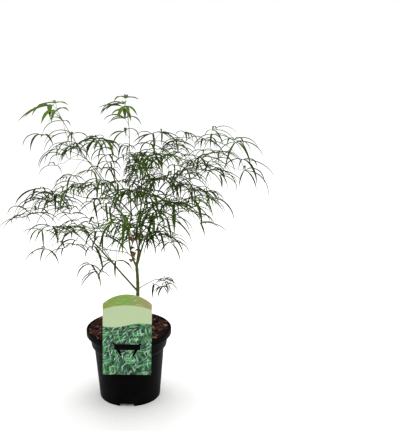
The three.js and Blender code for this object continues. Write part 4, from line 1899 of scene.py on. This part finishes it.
@dataclass
class Label:
    """The picture label: an arched card that hangs on the pot's rim band by a slot with a tongue."""

    pot: Pot
    width: float = 105.0
    bottom: float = 90.0
    shoulder: float = 255.0
    top: float = 277.0
    thickness: float = 0.8
    angle: float = -3.0
    lean: float = 1.5
    inset: float = 3.0
    slot_width: float = 56.0
    play: float = 1.0
    tongue: float = 32.0
    slit: tuple[float, float] = (7.0, 4.0)
    slant: float = 5.0
    slit_depth: float = 14.0
    ear: float = 3.0
    corner: float = 3.0
    edge: float = 0.12
    arch_sides: int = 240
    cutter_depth: float = 20.0

    def build_card(self, place: float) -> Piece:
        """Builds the card before its slot is cut, with rounded lower corners and an arched top.

        Args:
            place: Where its middle lies along Y.

        Returns:
            The card.
        """
        tall = self.top - self.bottom
        middle = (0, place, (self.top + self.bottom) / 2)
        piece = box_cutter((self.width, self.thickness, tall), middle)
        low = self.bottom * MM + 1e-5
        edit_edges(piece, lambda one, two: max(one[2], two[2]) < low and abs(one[0] - two[0]) < 1e-6)
        bpy.ops.mesh.bevel(offset=self.corner * MM, segments=6)
        bpy.ops.object.mode_set(mode="OBJECT")
        half, rise = self.width / 2, self.top - self.shoulder
        sweep = (half * half + rise * rise) / (2 * rise)
        choose()
        bpy.ops.mesh.primitive_cylinder_add(
            vertices=self.arch_sides,
            radius=sweep * MM,
            depth=self.cutter_depth * MM,
            location=(0, place * MM, (self.top - sweep) * MM),
            rotation=(math.radians(90), 0, 0),
        )
        arched = named("cutter")
        below = (0, place, self.shoulder - tall)
        square = box_cutter((2 * self.width, self.cutter_depth, 2 * tall), below)
        apply_modifier(arched, "BOOLEAN", object=square, operation="UNION", solver="EXACT")
        bpy.data.objects.remove(square)
        cut_away(piece, arched, keep_inside=True)
        return piece

    def slot_cutters(self, place: float) -> list[Piece]:
        """What cuts the slot: the gap for the rim band with its two ears, and the tongue's two slits.

        Args:
            place: Where the card's middle lies along Y.

        Returns:
            The cutters.
        """
        deep = 8 * self.thickness
        low = self.pot.height - self.pot.rim_band - self.play
        high = self.pot.height + self.play
        made = [box_cutter((self.slot_width, deep, high - low), (0, place, (low + high) / 2))]
        for side in (-1, 1):
            ear_place = (side * self.slot_width / 2, place, high)
            made.append(box_cutter((2 * self.ear, deep, 1.6 * self.ear), ear_place, (0, side * -45, 0)))
            made.append(self.slit_cutter(side, place, low))
        return made

    def slit_cutter(self, side: int, place: float, low: float) -> Piece:
        """What cuts one slit, which narrows and slants inwards to its foot.

        Args:
            side: Which side of the tongue: -1 or 1.
            place: Where the card's middle lies along Y.
            low: The height of the foot of the gap.

        Returns:
            The cutter.
        """
        head, foot = self.slit
        middle = (self.tongue + head) / 2
        height = low - self.slit_depth / 2
        size = (head, 8 * self.thickness, self.slit_depth + 1)
        piece = box_cutter(size, (side * middle, place, height))
        below = height * MM
        edit_edges(piece, lambda one, two: max(one[2], two[2]) < below)
        bpy.ops.transform.resize(value=(foot / head, 1, 1), center_override=(side * middle * MM, 0, 0))
        shift = self.tongue / 2 - self.slant + foot / 2 - middle
        bpy.ops.transform.translate(value=(side * shift * MM, 0, 0))
        bpy.ops.object.mode_set(mode="OBJECT")
        return piece

    def hang_on(self, piece: Piece) -> None:
        """Leans the card in its own plane about its slot, and turns it round the pot.

        Args:
            piece: The card.
        """
        hang = (self.pot.height - self.pot.rim_band / 2) * MM
        for turn, axis, centre in ((-self.lean, "Y", (0, 0, hang)), (-self.angle, "Z", (0, 0, 0))):
            choose(piece)
            bpy.ops.object.mode_set(mode="EDIT")
            bpy.ops.mesh.select_all(action="SELECT")
            bpy.ops.transform.rotate(value=math.radians(turn), orient_axis=axis, center_override=centre)
            bpy.ops.object.mode_set(mode="OBJECT")

    def build(self) -> None:
        """Builds, prints and hangs the label."""
        place = self.inset - self.pot.rim_radius - self.thickness / 2
        piece = self.build_card(place)
        cut_away(piece, *self.slot_cutters(place))
        bevel_edges(piece, self.edge, 2, 50)
        self.hang_on(piece)
        named("label_card")
        smooth(piece, 30)
        facing = direction(self.angle - 90, 0)
        for material in (CARD_STOCK.material(), CARD_PRINT.material()):
            piece.data.materials.append(material)
        for face in piece.data.polygons:
            face.material_index = int(np.dot(face.normal, facing) > 0.9)
        finish_piece(piece, "label_card", "label")


# ---- Trunk and boughs ----


@dataclass
class Wood:
    """The trunk, the stems and the boughs, with the relief of their bark."""

    limbs: dict[str, Limb]
    node_every: float = 34.0
    node_swell: float = 0.14
    node_reach: float = 2.4
    collar: float = 0.4
    collar_reach: float = 0.06
    step: float = 2.0
    voxel: float = 0.5
    relief: tuple[float, float, float] = (2.2, 0.35, 0.42)  # its size, its depth, and how much is inwards
    bough_relief: tuple[float, float, float] = (1.6, 0.2, 0.45)
    thick: tuple[str, ...] = ("trunk", "bough_low_left", "stem_left", "stem_middle", "stem_right")
    wander: float = 0.5
    bends: int = 6  # how often a limb's axis wanders off and back

    def course(self, name: str, limb: Limb) -> tuple[Points, np.ndarray]:
        """A limb's smooth axis and its radius along it, with a collar at its foot and swollen nodes.

        Args:
            name: The limb's name.
            limb: The limb.

        Returns:
            The points along the axis and the radius at each.
        """
        length = np.linalg.norm(np.diff(limb.points, axis=0), axis=1).sum()
        steps = max(12, round(length / self.step))
        points = smoothed(limb.points, steps)
        seed = sum(map(ord, name))
        count = int(length / self.node_every) + 1
        nodes = [self.node_every * (k + 0.6 + 0.2 * sway(seed, k)) for k in range(count)]
        radii = []
        for i in range(steps + 1):
            share = i / steps
            radius = limb.radius_at(share)
            if name != "trunk":
                radius *= 1 + self.collar * max(0.0, 1 - share / self.collar_reach) ** 2
            nearest = min(abs(share * length - node) for node in nodes)
            radius *= 1 + self.node_swell * math.exp(-((nearest / self.node_reach) ** 2))
            radii.append(radius)
            draw = 50 + int(share * self.bends)
            drift = np.array([sway(seed, draw + k) for k in range(3)])
            after = np.array([sway(seed, draw + 1 + k) for k in range(3)])
            ease = (1 - math.cos(math.pi * (share * self.bends % 1))) / 2
            fade = math.sin(math.pi * share)
            points[i] += self.wander * fade * (drift * (1 - ease) + after * ease)
        return points, np.array(radii)

    def build_group(self, name: str, members: Sequence[str], sides: int) -> Piece:
        """Builds some limbs as one mesh.

        Args:
            name: The mesh's name.
            members: The limbs' names.
            sides: How many sides each limb has.

        Returns:
            The mesh.
        """
        batch = Batch()
        for member in members:
            points, radii = self.course(member, self.limbs[member])
            batch.add(*tube(points, radii, sides), 0)
        return batch.build(name, [BARK.material()], 60)

    def build_trunk(self) -> None:
        """Builds the trunk and its main stems as one skin that runs together at the forks."""
        piece = self.build_group("trunk_and_stems", self.thick, 20)
        apply_modifier(piece, "REMESH", mode="VOXEL", voxel_size=self.voxel * MM)
        apply_modifier(piece, "SMOOTH", factor=0.5, iterations=5)
        roughen(piece, "ridges", *self.relief)
        choose(piece)
        bpy.ops.object.shade_smooth()
        finish_piece(piece, "bark", *self.thick)

    def build_boughs(self) -> None:
        """Builds the boughs, whose feet stand in the limbs that bear them."""
        thin = [name for name in self.limbs if name not in self.thick]
        piece = self.build_group("boughs", thin, 12)
        piece.data.materials[0] = BOUGH_BARK.material()
        roughen(piece, "knots", *self.bough_relief)
        finish_piece(piece, "bark", *thin)

    def build(self) -> None:
        """Builds all limbs."""
        self.build_trunk()
        self.build_boughs()


# ---- Foliage ----


@dataclass
class Foliage:
    """All masses of foliage: their twigs and their leaves."""

    limbs: dict[str, Limb]
    blade_steps: int = 11
    blade_width: float = 4.5
    young_width: float = 2.0
    usual: float = 60.0
    root_width: float = 0.34
    widest: float = 0.4
    point: float = 1.15
    fold: float = 0.42
    thickness: float = 0.5
    rib_width: float = 0.5
    rib_height: float = 0.05
    tooth: float = 0.09
    sway_width: float = 0.25
    stalk_radius: tuple[float, float] = (0.5, 0.38)
    stalk_arch: float = 0.05
    hub_size: tuple[float, float] = (1.15, 0.6)
    brighter: float = 0.55  # how much brighter the youngest leaves are
    tints: tuple[float, ...] = (0.42, 0.78, 1.1)  # where each green gives way to the next
    stem_steps: int = 30
    stem_swell: float = 1.35
    twig_steps: int = 10
    twig_swell: float = 1.4
    rib_slot: int = field(default=len(Tint), init=False)
    stalk_slot: int = field(default=len(Tint) + 1, init=False)

    def grow(self) -> list[Mass]:
        """Grows every mass.

        Returns:
            The masses.
        """
        stems = {name: grow_stem(plan, self.limbs[f"bough_{name}"]) for name, plan in MASSES.items()}
        limbs = list(self.limbs.values())
        grown = []
        for seed, (name, plan) in enumerate(MASSES.items(), FIRST_SEED):
            rivals = [stem for other, stem in stems.items() if other != name]
            grown.append(Mass(name, plan, seed, stems[name], Space(stems[name], rivals, limbs)))
        for name, pairs in SHOOT_PAIRS.items():
            grow_shoots(name, self.limbs[name], pairs, grown)
        return grown

    def profile(self, share: float) -> float:
        """A lobe's width a share of the way along it, against its widest.

        Args:
            share: How far along, from 0 to 1.

        Returns:
            The width, from 0 to 1.
        """
        if share < self.widest:
            return mix(self.root_width, 1, math.sin(math.pi / 2 * share / self.widest))
        return math.cos(math.pi / 2 * (share - self.widest) / (1 - self.widest)) ** self.point

    @staticmethod
    @lru_cache
    def blade_faces(rings: int) -> tuple[list[list[int]], list[bool]]:
        """The faces of a lobe of so many rings of five corners and a tip, and which are its rib.

        Args:
            rings: How many rings it has.

        Returns:
            The faces, and for each whether it belongs to the rib.
        """
        faces, is_rib = [[4, 3, 2, 1, 0]], [False]
        for i in range(rings - 1):
            for k in range(5):
                a, b = 5 * i + k, 5 * i + (k + 1) % 5
                faces.append([a, b, b + 5, a + 5])
                is_rib.append(k == 1)
        tip, last = 5 * rings, 5 * (rings - 1)
        for k in range(5):
            faces.append([last + k, last + (k + 1) % 5, tip])
            is_rib.append(k == 1)
        return faces, is_rib

    def add_blade(self, batch: Batch, points: Points, width: float, slot: int, rib_slot: int) -> None:
        """Adds one lobe: two halves folded up from a pale rib, with a keel below.

        Args:
            batch: The mesh that it is added to.
            points: The points along it.
            width: Its width where it is widest.
            slot: Its material.
            rib_slot: Its rib's material.
        """
        path = smoothed(points, self.blade_steps)
        ahead = np.gradient(path, axis=0)
        ahead /= np.linalg.norm(ahead, axis=1)[:, None]
        rings = []
        for i in range(self.blade_steps):
            share = i / self.blade_steps
            side = unit(np.cross(ahead[i], UP))
            above = np.cross(side, ahead[i])
            half = width / 2 * self.profile(share) * (1 - self.tooth * (i % 2))
            rib = min(self.rib_width / 2 * (1 - 0.6 * share), 0.5 * half)
            edge = above * half * self.fold
            rings += [
                path[i] - side * half + edge,
                path[i] - side * rib + above * self.rib_height,
                path[i] + side * rib + above * self.rib_height,
                path[i] + side * half + edge,
                path[i] - above * self.thickness,
            ]
        faces, is_rib = self.blade_faces(self.blade_steps)
        slots = [rib_slot if rib else slot for rib in is_rib]
        batch.add(np.vstack([*rings, path[-1]]), faces, slots)

    def add_leaf(self, batch: Batch, leaf: Leaf, tint: int, seed: int, count: int) -> None:
        """Adds one leaf with its stalk and hub.

        Args:
            batch: The mesh that it is added to.
            leaf: The leaf.
            tint: The material of its lobes.
            seed: The mass's own number.
            count: Which of the mass's leaves it is.
        """
        course = np.linspace(leaf.root, leaf.hub, 5)
        arched = UP * self.stalk_arch * np.linalg.norm(leaf.hub - leaf.root)
        course += np.sin(np.linspace(0, math.pi, 5))[:, None] * arched
        batch.add(*tube(course, np.linspace(*self.stalk_radius, 5), 5), self.stalk_slot)
        across, rise = self.hub_size
        top, low = leaf.hub + UP * rise, leaf.hub - UP * rise
        ring = [leaf.hub + direction(leaf.heading + 60 * k, 0) * across for k in range(6)]
        faces = [[k, (k + 1) % 6, 6] for k in range(6)] + [[(k + 1) % 6, k, 7] for k in range(6)]
        batch.add(np.array([*ring, top, low]), faces, self.stalk_slot)
        broad = self.blade_width * mix(1.0, self.young_width, leaf.youth)
        for k, blade in enumerate(leaf.blades):
            changed = 1 + self.sway_width * sway(seed, Draw.WIDTH + 10 * count + k)
            width = broad * math.sqrt(blade.length / self.usual) * changed
            self.add_blade(batch, blade.points, width, tint, self.rib_slot)

    def tint_of(self, mass: Mass, leaf: Leaf, count: int) -> int:
        """The number of the green that a leaf is dealt: young leaves are brighter."""
        # Leaves dealt the darkest green carry painted shade as well as their own deeper tone.
        bright = chance(mass.seed, Draw.TINT + count) + self.brighter * leaf.youth
        return sum(bright >= limit for limit in self.tints)

    def build_mass(self, mass: Mass) -> None:
        """Builds one mass's twigs and leaves.

        Args:
            mass: The mass.
        """
        twigs = Batch()
        radii = np.linspace(*TWIG.stem_radius, self.stem_steps + 1)
        for pair in range(mass.plan.pairs):
            radii[round(mass.spot_of(pair) * self.stem_steps)] *= self.stem_swell
        twigs.add(*tube(smoothed(mass.stem, self.stem_steps), radii, 8), 0)
        for twig in mass.twigs:
            radii = np.linspace(*TWIG.radius, self.twig_steps + 1)
            radii[[0, -1]] *= self.twig_swell
            twigs.add(*tube(smoothed(twig.points, self.twig_steps), radii, 6), 1)
        piece = twigs.build(f"twigs_{mass.name}", [TWIG_GREEN.material(), STALK_GREEN.material()])
        finish_piece(piece, "bark", f"foliage_{mass.name}")
        leaves = Batch()
        for count, leaf in enumerate(mass.leaves):
            self.add_leaf(leaves, leaf, self.tint_of(mass, leaf, count), mass.seed, count)
        greens = [tint.value for tint in Tint] + [RIB_GREEN, STALK_GREEN]
        piece = leaves.build(f"leaves_{mass.name}", [green.material() for green in greens])
        finish_piece(piece, "foliage", f"foliage_{mass.name}")

    def build(self) -> None:
        """Grows and builds all masses."""
        masses = self.grow()
        log.info("leaves: %d", sum(len(mass.leaves) for mass in masses))
        for mass in masses:
            self.build_mass(mass)


@dataclass
class DryLeaves:
    """A few of last year's leaves, dry and curled, that are caught between two stems."""

    foliage: Foliage
    stems: tuple[str, str] = ("stem_left", "stem_middle")
    shares: tuple[float, ...] = (0.13, 0.27, 0.31, 0.35, 0.51, 0.55, 0.61)
    between: tuple[float, float] = (0.35, 0.65)
    length: tuple[float, float] = (14.0, 24.0)
    width: float = 14.0
    rise: tuple[float, float] = (40.0, -110.0)
    twist: float = 200.0
    seed: int = 5

    def build(self) -> None:
        """Builds them as one joined mesh."""
        batch = Batch()
        one, other = (self.foliage.limbs[name] for name in self.stems)
        for i, share in enumerate(self.shares):
            draw = 10 * i
            across = mix(*self.between, chance(self.seed, draw))
            start = mix(along(one.points, share)[0], along(other.points, share)[0], across)
            heading = 360 * chance(self.seed, draw + 1)
            length = mix(*self.length, chance(self.seed, draw + 2))
            turn = self.twist * sway(self.seed, draw + 3)
            path = arch(start, heading, self.rise, length, LEAF.steps, turn)
            self.foliage.add_blade(batch, path, self.width, 0, 0)
        piece = batch.build("dry_leaves", [DRY_LEAF.material()])
        finish_piece(piece, "foliage", "foliage_inner_left")


# ---- Studio ----


@dataclass
class Studio:
    """The pale floor, the soft lights and the camera, in metres and degrees."""

    floor_size: float = 60.0
    floor_gap: float = 0.0004
    lit_height: float = 0.35
    camera_place: tuple[float, float, float] = (0.0, -2.018, 1.035)
    camera_yaw: float = 4.54
    camera_pitch: float = -16.9
    lens: float = 81.0
    daylight: float = 1.05

    def build_floor(self) -> None:
        """Builds the floor, which isn't part of the plant."""
        choose()
        bpy.ops.mesh.primitive_plane_add(size=self.floor_size, location=(0, 0, -self.floor_gap))
        floor = named("floor")
        finish = Finish("floor_paper", "#fafaf9", "#fbfbfa", 0.9, 3, 1, 400, 0.02, specular=0.0)
        floor.data.materials.append(finish.material())

    def add_light(self, name: str, place: Sequence[float], size: float, power: float) -> None:
        """Adds a square soft light that faces the plant.

        Args:
            name: Its name.
            place: Where it stands, in metres.
            size: Its side, in metres.
            power: Its power, in watts.
        """
        light = bpy.data.lights.new(name, "AREA")
        light.size = size
        light.energy = power
        stand = placed(name, light)
        stand.location = place
        heading, rise = bearing(UP * self.lit_height - np.array(place))
        stand.rotation_euler = (math.radians(90 + rise), 0, math.radians(heading - 90))

    def build(self) -> None:
        """Builds the studio round the plant."""
        self.build_floor()
        scene = bpy.context.scene
        world = bpy.data.worlds.new("studio")
        world.use_nodes = True
        backdrop = world.node_tree.nodes["Background"]
        backdrop.inputs["Color"].default_value = (1, 1, 1, 1)
        backdrop.inputs["Strength"].default_value = self.daylight
        scene.world = world
        self.add_light("key", (0.1, 0.5, 2.4), 1.2, 26)
        self.add_light("fill", (0.4, -2.4, 1.6), 1.8, 10)
        camera = bpy.data.cameras.new("camera")
        camera.lens = self.lens
        eye = placed("camera", camera)
        eye.location = self.camera_place
        eye.rotation_euler = (math.radians(90 + self.camera_pitch), 0, math.radians(-self.camera_yaw))
        scene.camera = eye
        scene.view_settings.view_transform = "Standard"


def main() -> None:
    """Builds the plant, its pot and the studio."""
    logging.basicConfig(level=logging.INFO, format="%(message)s")
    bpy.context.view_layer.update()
    pot = Pot()
    pot.build()
    Compost(pot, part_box("soil")[1].z / MM).build()
    Label(pot).build()
    limbs = grow_limbs(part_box("trunk")[0].z / MM - CLEARANCE)
    Wood(limbs).build()
    foliage = Foliage(limbs)
    foliage.build()
    DryLeaves(foliage).build()
    Studio().build()


if __name__ == "__main__":
    main()
